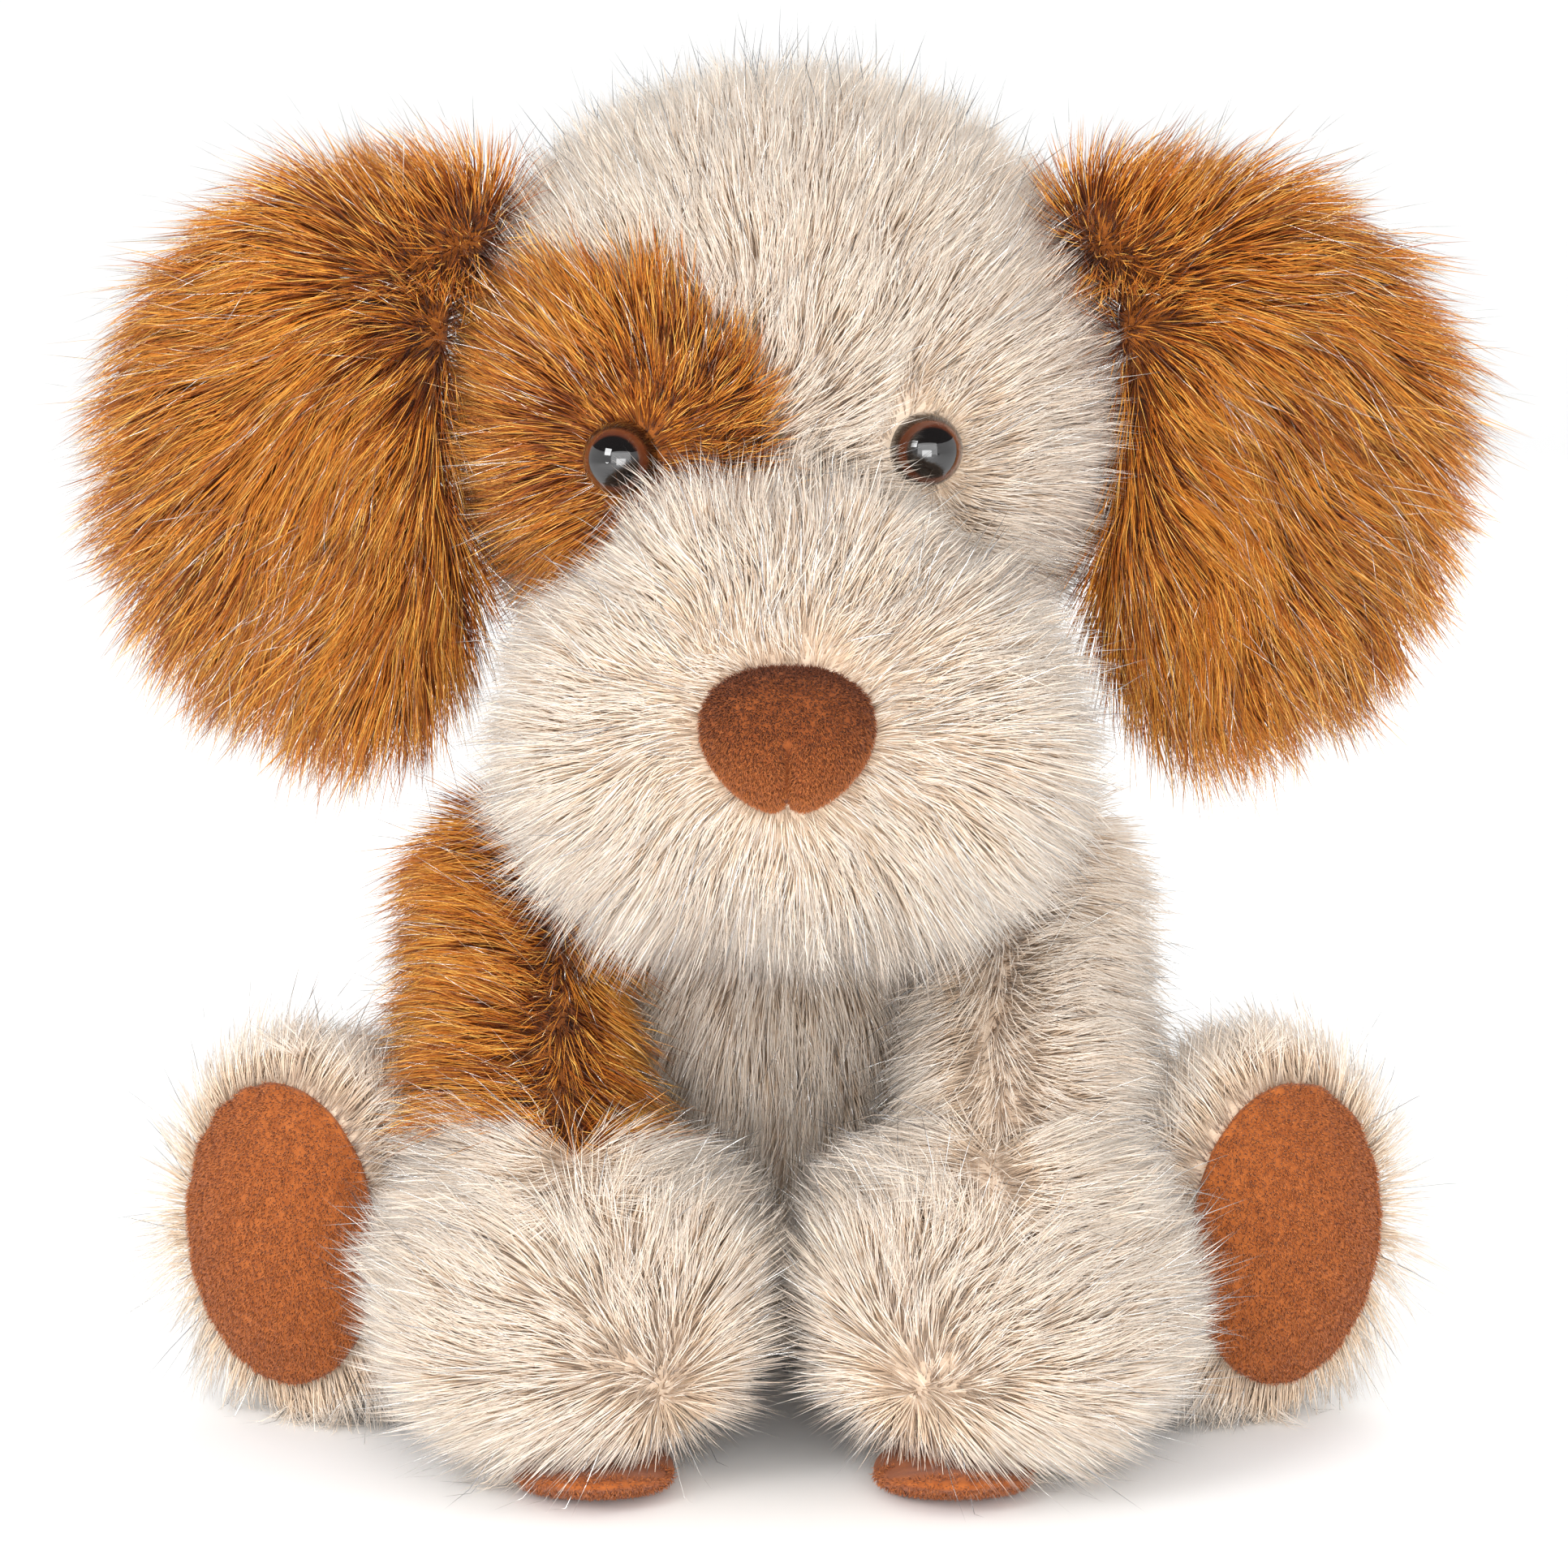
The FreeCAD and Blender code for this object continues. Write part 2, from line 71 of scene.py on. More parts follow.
def middle(*nodes):
    """Middle of some CAD nodes' common box."""
    low, high = span(*nodes)
    return (low + high) / 2


def pivot(joint):
    """Where a joint's axis passes."""
    return np.array(next(j["pos_m"] for j in frame["joints"] if j["name"] == joint))


head_low, head_high = span("face_panel", "back_of_head_panel")
HEAD = (head_low + head_high) / 2
HEAD_R = (head_high[2] - head_low[2]) / 2 - PILE
muzzle_low, muzzle_high = span("muzzle_cover")
MUZZLE_R = (muzzle_high[2] - muzzle_low[2]) / 2 - PILE
MUZZLE = np.array([
    (muzzle_low[0] + muzzle_high[0]) / 2,
    muzzle_low[1] + MUZZLE_R + PILE,
    (muzzle_low[2] + muzzle_high[2]) / 2,
])
MUZZLE_HALF = (muzzle_high[0] - muzzle_low[0]) / 2 - PILE - MUZZLE_R
NOSE = middle("nose_panel_left", "nose_panel_right", "nose_filling") + np.array([0, 0, -2 * MM])
NOSE_FRONT = span("nose_panel_left", "nose_panel_right")[0][1]
EYES = {side: middle(f"eye_{side}_dome") for side in SIDES}
EYE_R = (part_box("eye_left_dome")[1].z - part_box("eye_left_dome")[0].z) / 2
EYE_YAW = math.radians(18)
NECK = pivot("neck_turn")
EAR_ROOTS = {side: pivot(f"ear_{side}_lift") for side in SIDES}
SHOULDERS = {side: pivot(f"front_leg_{side}_raise") for side in SIDES}
HIPS = {side: pivot(f"hind_leg_{side}_splay") for side in SIDES}
TAIL_ROOT = pivot("tail_wag")
FOOT_YAW = math.radians(30)


def front_leg_nodes(side):
    """The CAD covers of a front leg; the two legs are sewn from different panels."""
    covers = {
        "right": ["shoulder_panel_right", "front_leg_right_lower_panel"],
        "left": ["front_leg_left_outer_panel", "front_leg_left_inner_panel"],
    }
    return covers[side]


def paw_place(side):
    """Middle of a paw, and how far its pile reaches to each side of that."""
    low, high = span(*front_leg_nodes(side))
    reach = (high[0] - low[0]) / 2
    return np.array([(low[0] + high[0]) / 2, low[1] + reach, reach - 1 * MM]), reach


PAWS = {side: paw_place(side)[0] for side in SIDES}
PAW_R = paw_place("right")[1] - PILE
SOLES = {side: middle(f"hind_leg_{side}_sole") for side in SIDES}
FOOT_OUT = {
    side: np.array([s * math.sin(FOOT_YAW), -math.cos(FOOT_YAW), 0]) for side, s in SIDES.items()
}


# ---------------------------------------------------------------- numbers on arrays

def unit(vectors):
    """Each vector at length 1."""
    return vectors / np.maximum(np.linalg.norm(vectors, axis=-1, keepdims=True), 1e-12)


def tangent(vectors, normals):
    """The share of each vector that lies in the surface, at unit length."""
    along = np.sum(vectors * normals, axis=1, keepdims=True)
    return unit(vectors - along * normals)


def smooth_step(values, low, high):
    """Rise from 0 at low to 1 at high, level at both ends."""
    t = np.clip((values - low) / (high - low), 0, 1)
    return t * t * (3 - 2 * t)


def waves(points, scale, seed):
    """Smooth random values from -1 to 1 over space, from a few crossed waves."""
    rng = np.random.default_rng(seed)
    total = np.zeros(len(points))
    for _ in range(5):
        way = unit(rng.normal(size=3)) * rng.uniform(0.7, 1.6) / scale
        total += np.sin(points @ way * 2 * math.pi + rng.uniform(0, 6.28))
    return total / 3


def muzzle_distance(points):
    """How far points lie outside the muzzle's own skin."""
    rel = points - MUZZLE
    along = np.clip(rel[:, 0], -MUZZLE_HALF, MUZZLE_HALF)
    rel = rel - along[:, None] * np.array([1.0, 0, 0])
    return np.linalg.norm(rel, axis=1) - MUZZLE_R


def skull_distance(points):
    """How far points lie outside the skull's own skin."""
    return np.linalg.norm(points - HEAD, axis=1) - HEAD_R


# ---------------------------------------------------------------- materials

def new_material(name):
    """A node material, its nodes and its links."""
    mat = bpy.data.materials.new(name)
    mat.use_nodes = True
    return mat, mat.node_tree.nodes, mat.node_tree.links


def set_shader(nodes, **values):
    """Set plain values on the Principled node's own sockets."""
    shader = nodes["Principled BSDF"]
    for name, value in values.items():
        shader.inputs[name.replace("_", " ")].default_value = value
    return shader


def ramp(nodes, stops):
    """A colour ramp with a stop for each place and colour."""
    node = nodes.new("ShaderNodeValToRGB")
    for index, (at, colour) in enumerate(stops):
        if index < 2:
            stop = node.color_ramp.elements[index]
            stop.position = at
        else:
            stop = node.color_ramp.elements.new(at)
        stop.color = (*colour, 1)
    return node


def noise_texture(nodes, links, scale, detail=4.0, roughness=0.6):
    """Noise in the piece's own coordinates."""
    where = nodes.new("ShaderNodeTexCoord")
    texture = nodes.new("ShaderNodeTexNoise")
    texture.inputs["Scale"].default_value = scale
    texture.inputs["Detail"].default_value = detail
    texture.inputs["Roughness"].default_value = roughness
    links.new(where.outputs["Object"], texture.inputs["Vector"])
    return texture


def bumped(nodes, links, shader, height, strength, distance):
    """Raise the shaded surface by a height output."""
    bump = nodes.new("ShaderNodeBump")
    bump.inputs["Strength"].default_value = strength
    bump.inputs["Distance"].default_value = distance
    links.new(height, bump.inputs["Height"])
    links.new(bump.outputs["Normal"], shader.inputs["Normal"])


def cloth_material(name, dark, light, scale, sheen, bump):
    """A napped cloth: mottled colour and a fine raised nap."""
    mat, nodes, links = new_material(name)
    shader = set_shader(nodes, Roughness=0.9, Sheen_Weight=sheen, Sheen_Roughness=0.5)
    shader.inputs["Specular IOR Level"].default_value = 0.2
    mottle = noise_texture(nodes, links, scale)
    colour = ramp(nodes, [(0.3, dark), (0.7, light)])
    links.new(mottle.outputs["Fac"], colour.inputs["Fac"])
    links.new(colour.outputs["Color"], shader.inputs["Base Color"])
    nap = noise_texture(nodes, links, scale * 6, 3.0, 0.7)
    bumped(nodes, links, shader, nap.outputs["Fac"], 0.6, bump)
    return mat


def strand_materials(name, shades, root, tip, roughness, sheen):
    """Plain materials for one fibre colour: each shade darkens to its root and pales to its tip."""
    made = []
    for number, shade in enumerate(shades):
        for zone, factor in (("root", root), ("body", (1, 1, 1)), ("tip", tip)):
            mat, nodes, _ = new_material(f"{name}_{number}_{zone}")
            colour = [min(1.0, c * f) for c, f in zip(shade, factor)]
            shader = set_shader(nodes, Roughness=roughness, Sheen_Weight=sheen, Sheen_Roughness=0.4)
            shader.inputs["Base Color"].default_value = (*colour, 1)
            shader.inputs["Specular IOR Level"].default_value = 0.35
            made.append(mat)
    return made


def tinsel_materials(name, shades, roughness):
    """Plain metallic materials, one shade from root to tip."""
    made = []
    for number, shade in enumerate(shades):
        for zone in ("root", "body", "tip"):
            mat, nodes, _ = new_material(f"{name}_{number}_{zone}")
            shader = set_shader(nodes, Roughness=roughness, Metallic=0.9)
            shader.inputs["Base Color"].default_value = (*shade, 1)
            made.append(mat)
    return made


def plastic_material(name, colour, roughness, scale):
    """Moulded plastic with a slight grain."""
    mat, nodes, links = new_material(name)
    shader = set_shader(nodes, Roughness=roughness)
    grain = noise_texture(nodes, links, scale)
    dark = [c * 0.8 for c in colour]
    tone = ramp(nodes, [(0.3, dark), (0.7, colour)])
    links.new(grain.outputs["Fac"], tone.inputs["Fac"])
    links.new(tone.outputs["Color"], shader.inputs["Base Color"])
    bumped(nodes, links, shader, grain.outputs["Fac"], 0.2, 0.2 * MM)
    return mat


CREAM_SHADES = [
    (0.87, 0.72, 0.575),
    (0.90, 0.77, 0.635),
    (0.94, 0.84, 0.73),
    (0.84, 0.68, 0.53),
    (0.79, 0.65, 0.53),
]
BROWN_SHADES = [
    (0.60, 0.175, 0.014),
    (0.74, 0.26, 0.028),
    (0.44, 0.11, 0.009),
    (0.92, 0.44, 0.09),
    (0.22, 0.045, 0.004),
]


def make_materials():
    """Every material that more than one piece uses, by a short name."""
    return {
        "cream": strand_materials(
            "cream_pile", CREAM_SHADES, (0.96, 0.88, 0.79), (1.03, 1.05, 1.08), 0.6, 0.25
        ),
        "brown": strand_materials(
            "brown_pile", BROWN_SHADES, (0.60, 0.48, 0.42), (1.08, 1.25, 1.3), 0.45, 0.05
        ),
        "silver": tinsel_materials(
            "silver_tinsel", [(0.9, 0.89, 0.87), (0.5, 0.5, 0.52), (0.95, 0.93, 0.9)], 0.22
        ),
        "copper": tinsel_materials(
            "copper_tinsel", [(0.97, 0.94, 0.9), (0.95, 0.5, 0.18), (0.97, 0.72, 0.45)], 0.25
        ),
        "cream_skin": cloth_material(
            "cream_backing", (0.74, 0.57, 0.42), (0.86, 0.70, 0.55), 260, 0.2, 0.6 * MM
        ),
        "brown_skin": cloth_material(
            "brown_backing", (0.26, 0.07, 0.010), (0.45, 0.14, 0.022), 260, 0.15, 0.6 * MM
        ),
        "plush": cloth_material(
            "sole_plush", (0.26, 0.066, 0.014), (0.42, 0.120, 0.026), 320, 0.12, 0.25 * MM
        ),
        "nose_plush": cloth_material(
            "nose_plush", (0.17, 0.040, 0.009), (0.30, 0.080, 0.018), 320, 0.12, 0.25 * MM
        ),
        "nap": strand_materials(
            "plush_nap",
            [(0.30, 0.075, 0.015), (0.42, 0.118, 0.024), (0.54, 0.17, 0.040)],
            (0.7, 0.7, 0.7),
            (1.2, 1.2, 1.2),
            0.6,
            0.12,
        ),
        "nose_nap": strand_materials(
            "nose_nap",
            [(0.13, 0.030, 0.007), (0.28, 0.075, 0.015), (0.42, 0.125, 0.028)],
            (0.7, 0.7, 0.7),
            (1.2, 1.2, 1.2),
            0.6,
            0.05,
        ),
    }


# ---------------------------------------------------------------- skins

def placed(name, data):
    """A new object in the scene."""
    made = bpy.data.objects.new(name, data)
    bpy.context.scene.collection.objects.link(made)
    return made


def shade_smooth(mesh):
    mesh.polygons.foreach_set("use_smooth", np.ones(len(mesh.polygons), bool))


def to_object(name, bm):
    """Turn a finished bmesh into an object."""
    mesh = bpy.data.meshes.new(name)
    bm.to_mesh(mesh)
    bm.free()
    return placed(name, mesh)


def add_ball(bm, centre, radii, yaw=0.0, subdivisions=4):
    """An ellipsoid with radii along its own X, Y and Z, turned about Z."""
    size = Matrix.Diagonal((*radii, 1))
    where = Matrix.Translation(Vector(centre)) @ Matrix.Rotation(yaw, 4, "Z") @ size
    bmesh.ops.create_icosphere(bm, subdivisions=subdivisions, radius=1, matrix=where)


def add_limb(bm, start, end, start_radius, end_radius):
    """Balls close together along a line, their radius changing evenly."""
    steps = 12
    for step in range(steps + 1):
        share = step / steps
        centre = np.array(start) * (1 - share) + np.array(end) * share
        radius = start_radius * (1 - share) + end_radius * share
        add_ball(bm, centre, (radius,) * 3, subdivisions=3)


def softened(raw, voxel, rounds):
    """One closed skin round overlapping forms, with the creases between them eased."""
    remesh = raw.modifiers.new("join", "REMESH")
    remesh.mode = "VOXEL"
    remesh.voxel_size = voxel
    ease = raw.modifiers.new("ease", "SMOOTH")
    ease.factor = 0.5
    ease.iterations = rounds
    depsgraph = bpy.context.evaluated_depsgraph_get()
    mesh = bpy.data.meshes.new_from_object(raw.evaluated_get(depsgraph))
    made = placed(raw.name + "_skin", mesh)
    bpy.data.objects.remove(raw)
    shade_smooth(mesh)
    return made


def head_skin():
    """Skull and muzzle under one skin."""
    bm = bmesh.new()
    add_ball(bm, HEAD, (HEAD_R, HEAD_R * 0.97, HEAD_R * 0.98))
    for sign in (-1, 1):
        jowl = MUZZLE + np.array([sign * MUZZLE_HALF, 1 * MM, -3 * MM])
        add_ball(bm, jowl, (MUZZLE_R - 1.5 * MM,) * 3)
        brow = MUZZLE + np.array([sign * 11 * MM, 4 * MM, 9 * MM])
        add_ball(bm, brow, (MUZZLE_R - 6 * MM,) * 3)
    add_ball(bm, MUZZLE + np.array([0, -2 * MM, -2 * MM]), (MUZZLE_R * 1.1, MUZZLE_R, MUZZLE_R))
    return softened(to_object("head", bm), 3 * MM, 6)


def ear_skin(side):
    """A soft flat ear: a wide pad that narrows to its root and bows forward at its lower edge."""
    s = SIDES[side]
    low, high = span(f"ear_{side}_front_panel", f"ear_{side}_back_panel")
    outer = max(abs(low[0]), abs(high[0]))
    height = (high[2] - low[2]) / 2
    centre = np.array([s * (outer - 42 * MM), (low[1] + high[1]) / 2, (low[2] + high[2]) / 2])
    root = EAR_ROOTS[side]
    bm = bmesh.new()
    add_ball(bm, centre + np.array([0, 0, 3 * MM]), (32 * MM, 6 * MM, height - 19 * MM))
    add_ball(bm, centre + np.array([-s * 9 * MM, 0, 32 * MM]), (25 * MM, 6 * MM, 25 * MM))
    add_ball(bm, centre + np.array([-s * 13 * MM, -1 * MM, -22 * MM]), (23 * MM, 6 * MM, 31 * MM))
    add_limb(bm, root, centre + np.array([-s * 8 * MM, 0, 38 * MM]), 8 * MM, 9 * MM)
    ear = softened(to_object(f"ear_{side}", bm), 2.5 * MM, 6)
    for vertex in ear.data.vertices:
        drop = max(0, (root[2] - vertex.co.z) / (2 * height))
        bow = (vertex.co.x * s - abs(root[0])) / (outer - abs(root[0]))
        vertex.co.y += (7 * max(0, bow) ** 2 - 5 * drop**2) * MM
    return ear


def torso_skin():
    """A round seat that narrows to the shoulders."""
    low, high = span("seat_panel", "belly_panel", "back_panel_left", "back_panel_right")
    middle_y = (low[1] + high[1]) / 2
    radius = (high[1] - low[1]) / 2 - PILE
    bm = bmesh.new()
    add_ball(bm, (0, middle_y, radius + 4 * MM), (radius, radius, radius))
    add_ball(bm, (0, middle_y - 7 * MM, 76 * MM), (42 * MM, 42 * MM, 52 * MM))
    return softened(to_object("torso", bm), 3 * MM, 6)


def neck_skin():
    """The short ball between torso and head."""
    bm = bmesh.new()
    add_ball(bm, NECK, (27 * MM, 27 * MM, 24 * MM))
    return softened(to_object("neck", bm), 3 * MM, 4)


def front_leg_skin(side):
    """A straight leg on a broad round paw; the right one stands a little further out."""
    s = SIDES[side]
    paw = PAWS[side]
    aside = {"left": 6 * MM, "right": 10 * MM}[side]
    top = SHOULDERS[side] + np.array([s * aside, 0, 0])
    bottom = paw + np.array([s * (aside - 2 * MM), 6 * MM, 4 * MM])
    bm = bmesh.new()
    add_limb(bm, top, bottom, 13 * MM, 20 * MM)
    add_ball(bm, paw, (PAW_R + 4 * MM, PAW_R - 1 * MM, PAW_R))
    toes = paw + np.array([0, -5 * MM, -7 * MM])
    add_ball(bm, toes, (PAW_R + 2 * MM, PAW_R - 4 * MM, PAW_R - 10 * MM))
    return softened(to_object(f"front_leg_{side}", bm), 3 * MM, 5)


def hind_leg_skin(side):
    """A leg lying out to the side, its foot upright behind the sole."""
    out = FOOT_OUT[side]
    foot = SOLES[side] - out * 22 * MM
    yaw = SIDES[side] * FOOT_YAW
    bm = bmesh.new()
    add_limb(bm, HIPS[side] + np.array([0, 0, -3 * MM]), foot, 25 * MM, 22 * MM)
    add_ball(bm, foot + np.array([0, 0, 1 * MM]), (22 * MM, 19 * MM, 30 * MM), yaw)
    add_ball(bm, foot + out * 10 * MM, (26 * MM, 10 * MM, 34 * MM), yaw)
    return softened(to_object(f"hind_leg_{side}", bm), 3 * MM, 4)


def tail_tip():
    """Where the tail's skin ends."""
    high = span("tail_cover")[1]
    return np.array([0, high[1] - 11 * MM, high[2] - 11 * MM])


def tail_skin():
    """A short tapering tail."""
    bm = bmesh.new()
    add_limb(bm, TAIL_ROOT, tail_tip(), 7 * MM, 4.5 * MM)
    return softened(to_object("tail", bm), 2 * MM, 3)


# ---------------------------------------------------------------- fur

STRAND_RADIUS = 0.13 * MM
TINSEL_RADIUS = 0.14 * MM
NAP_RADIUS = 0.09 * MM
UNDERPILE_DENSITY = 1.4         # strands per square millimetre
GUARD_DENSITY = 0.42
TINSEL_LONGEST = 23 * MM
TRIANGLES_A_PIECE = 190000
DOWN = np.array([0, 0, -1.0])


def surface_points(skin, density, rng):
    """Even random points on a skin, with their normals. Density is per square millimetre."""
    mesh = skin.data
    mesh.calc_loop_triangles()
    corners = np.empty(len(mesh.loop_triangles) * 3, np.int32)
    mesh.loop_triangles.foreach_get("vertices", corners)
    corners = corners.reshape(-1, 3)
    points = np.empty(len(mesh.vertices) * 3)
    mesh.vertices.foreach_get("co", points)
    points = points.reshape(-1, 3)
    normals = np.empty(len(mesh.vertices) * 3)
    mesh.vertices.foreach_get("normal", normals)
    normals = normals.reshape(-1, 3)
    a, b, c = (points[corners[:, i]] for i in range(3))
    areas = np.linalg.norm(np.cross(b - a, c - a), axis=1) / 2
    count = int(areas.sum() / MM**2 * density / THIN_OUT)
    chosen = rng.choice(len(areas), count, p=areas / areas.sum())
    u, v = rng.random(count), rng.random(count)
    over = u + v > 1
    u[over], v[over] = 1 - u[over], 1 - v[over]
    weights = np.stack([1 - u - v, u, v], axis=1)
    found = np.einsum("ni,nij->nj", weights, points[corners[chosen]])
    facing = unit(np.einsum("ni,nij->nj", weights, normals[corners[chosen]]))
    return found, facing


def beads(rings):
    """Where a strand's points lie along it, from root to tip."""
    return {3: np.array([0.0, 0.5, 1.0]), 4: np.array([0.0, 0.36, 0.72, 1.0])}[rings]


def grow(points, normals, comb, lift, length, rng, droop, curl, rings=4):
    """Strand paths from their roots: they leave at the lift angle, lean along the comb and droop."""
    start = unit(normals * np.sin(lift)[:, None] + comb * np.cos(lift)[:, None])
    start = unit(start + rng.normal(0, 0.10, start.shape))
    bend = comb * 0.28 + DOWN * droop
    share = beads(rings)[None, :]
    t = share[:, :, None]
    sweep = start[:, None, :] * t + bend[:, None, :] * t**2
    paths = points[:, None, :] + length[:, None, None] * sweep
    side = unit(np.cross(start, rng.normal(size=start.shape)))
    pace = rng.uniform(2, 5, (len(points), 1))
    phase = rng.uniform(0, 6.28, (len(points), 1))
    wave = (np.sin(share * pace + phase) - np.sin(phase)) * share
    return paths + side[:, None, :] * (wave * curl)[:, :, None]


def clumped(paths, points, rng, every, strength, lean_by):
    """Strands gather to the nearest of a few of their own number, and each tuft leans its own way."""
    guides = rng.choice(len(points), max(1, len(points) // every), replace=False)
    tree = KDTree(len(guides))
    for index, guide in enumerate(guides):
        tree.insert(points[guide], index)
    tree.balance()
    nearest = np.array([guides[tree.find(point)[1]] for point in points])
    pull = rng.uniform(0.35, 1.0, len(points))[nearest] * strength
    pull = pull * rng.uniform(0.6, 1.0, len(points))
    t = beads(paths.shape[1])[None, :, None]
    share = pull[:, None, None] * t**1.2
    lean = rng.normal(0, lean_by, paths[:, 0].shape)[nearest]
    return paths * (1 - share) + paths[nearest] * share + lean[:, None, :] * t**1.6


def strand_faces(rings):
    """Faces of one strand by its points' numbers, and the zone of each: root, body or tip."""
    faces, zones = [(0, 2, 1)], [0]
    for ring in range(rings - 2):
        base = ring * 3
        for corner in range(3):
            following = (corner + 1) % 3
            faces.append((base + corner, base + following, base + 3 + following, base + 3 + corner))
            zones.append(ring)
    base = (rings - 2) * 3
    for corner in range(3):
        faces.append((base + corner, base + (corner + 1) % 3, 3 * (rings - 1)))
        zones.append(2)
    return faces, zones


def strand_piece(name, paths, radius, shade, materials, flat=1.0, seed=0):
    """One mesh of closed three-sided strands, with a material for each shade and zone."""
    count, rings = paths.shape[:2]
    taper = np.linspace(1.0, 0.75, rings - 1)
    rng = np.random.default_rng(seed)
    along = unit(np.gradient(paths, axis=1))
    side = unit(np.cross(along, unit(rng.normal(size=(count, 1, 3)))))
    other = np.cross(along, side)
    verts = np.empty((count, 3 * (rings - 1) + 1, 3), np.float32)
    for ring in range(rings - 1):
        for corner in range(3):
            angle = corner * 2 * math.pi / 3
            offset = side[:, ring] * math.cos(angle) + other[:, ring] * math.sin(angle) * flat
            verts[:, ring * 3 + corner] = paths[:, ring] + offset * (radius * taper[ring])[:, None]
    verts[:, -1] = paths[:, -1]
    faces, zones = strand_faces(rings)
    sizes = np.array([len(f) for f in faces])
    loops = np.concatenate([np.array(f) for f in faces])
    per_strand = verts.shape[1]
    all_loops = (loops[None, :] + np.arange(count)[:, None] * per_strand).ravel()
    all_sizes = np.tile(sizes, count)
    starts = np.concatenate([[0], np.cumsum(all_sizes)[:-1]])
    zone_index = (shade[:, None] * 3 + np.array(zones)[None, :]).ravel()
    mesh = bpy.data.meshes.new(name)
    mesh.vertices.add(count * per_strand)
    mesh.vertices.foreach_set("co", verts.ravel())
    mesh.loops.add(len(all_loops))
    mesh.loops.foreach_set("vertex_index", all_loops.astype(np.int32))
    mesh.polygons.add(len(all_sizes))
    mesh.polygons.foreach_set("loop_start", starts.astype(np.int32))
    mesh.polygons.foreach_set("material_index", zone_index.astype(np.int32))
    shade_smooth(mesh)
    for mat in materials:
        mesh.materials.append(mat)
    mesh.update(calc_edges=True)
    return placed(name, mesh)


def lay_pieces(name, paths, radius, shade, materials, body, flat=1.0):
    """Split strands into pieces of a workable size that ride on their body; none passes the floor."""
    paths[:, :, 2] = np.maximum(paths[:, :, 2], 0.5 * MM)
    triangles_each = 6 * paths.shape[1] - 8
    parts = math.ceil(len(paths) * triangles_each / TRIANGLES_A_PIECE)
    for part in range(parts):
        pick = slice(part, None, parts)
        label = f"{name}_{part + 1}"
        piece = strand_piece(label, paths[pick], radius[pick], shade[pick], materials, flat, seed=part)
        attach(piece, body)


def shade_of(points, rng, weights):
    """A shade for each strand: mostly random, drifting slowly over the surface."""
    drift = waves(points, 28 * MM, 5) * 0.18
    pick = np.clip(rng.random(len(points)) + drift, 0, 0.999)
    return np.searchsorted(np.cumsum(weights) / np.sum(weights), pick)


def lay_pile(name, paths, widths, points, brown, mats, body, rng):
    """Lay cream and brown strands apart, each in their own shades."""
    for colour, chosen, weights in (
        ("cream", ~brown, (3, 4, 3, 1.6, 0.5)),
        ("brown", brown, (4, 3.6, 3, 2.5, 2.4)),
    ):
        if chosen.any():
            shade = shade_of(points[chosen], rng, weights)
            label = f"{name}_{colour}"
            lay_pieces(label, paths[chosen], widths[chosen], shade, mats[colour], body)


def rooted(skin, density, flow, rng):
    """Strand roots on a skin, and the normal, comb, lift, length and droop at each."""
    points, normals = surface_points(skin, density, rng)
    comb, lift, length, keep, droop = flow(points, normals)
    return points[keep], normals[keep], comb[keep], lift[keep], length[keep], droop[keep, None]


def coat(name, skin, body, flow, colour_of, mats, seed, density=1.0, tufts=0.75):
    """The pile and the tinsel of one skin: a short under-pile, guard strands in tufts, and glints."""
    rng = np.random.default_rng(seed)
    points, normals, comb, lift, length, droop = rooted(skin, density * UNDERPILE_DENSITY, flow, rng)
    length = length * rng.uniform(0.7, 1.0, len(points))
    paths = grow(points, normals, comb, lift, length, rng, droop, 0.7 * MM, rings=3)
    paths = clumped(paths, points, rng, 14, 0.3, 1.0 * MM)
    widths = STRAND_RADIUS * rng.uniform(0.8, 1.2, len(points))
    lay_pile(f"{name}_underpile", paths, widths, points, colour_of(points), mats, body, rng)

    points, normals, comb, lift, length, droop = rooted(skin, density * GUARD_DENSITY, flow, rng)
    length = length * rng.uniform(0.75, 1.18, len(points))
    paths = grow(points, normals, comb, lift, length, rng, droop, 1.3 * MM)
    paths = clumped(paths, points, rng, 10, 0.55 * tufts, 2.0 * MM * tufts)
    brown = colour_of(points)
    widths = STRAND_RADIUS * rng.uniform(0.65, 1.1, len(points))
    lay_pile(f"{name}_pile", paths, widths, points, brown, mats, body, rng)

    glint = rng.random(len(points)) < np.where(brown, 0.26, 0.17)
    count = glint.sum()
    length = np.minimum(length[glint] * rng.uniform(1.0, 1.5, count), TINSEL_LONGEST)
    lift = np.clip(lift[glint] + rng.normal(0, 0.18, count), 0.2, 1.5)
    comb = unit(comb[glint] + rng.normal(0, 0.25, (count, 3)))
    shine = grow(points[glint], normals[glint], comb, lift, length, rng, droop[glint] * 0.5, 0.5 * MM)
    brown = brown[glint]
    for colour, metal, chosen in (("cream", "silver", ~brown), ("brown", "copper", brown)):
        if chosen.any():
            count = chosen.sum()
            shade = rng.choice(3, count, p=(0.5, 0.25, 0.25))
            lay_pieces(
                f"{name}_{colour}_tinsel", shine[chosen], np.full(count, TINSEL_RADIUS), shade,
                mats[metal], body, flat=0.35,
            )


# ---------------------------------------------------------------- how the pile lies, part by part

def level(points, value):
    """The same value at every point."""
    return np.full(len(points), float(value))


def swirled(comb, normals, points, amount, seed):
    """Turn the comb a little within the surface, more here and less there."""
    side = np.cross(normals, comb)
    turn = waves(points, 24 * MM, seed) * amount + waves(points, 8 * MM, seed + 1) * amount
    return unit(comb + side * turn[:, None])


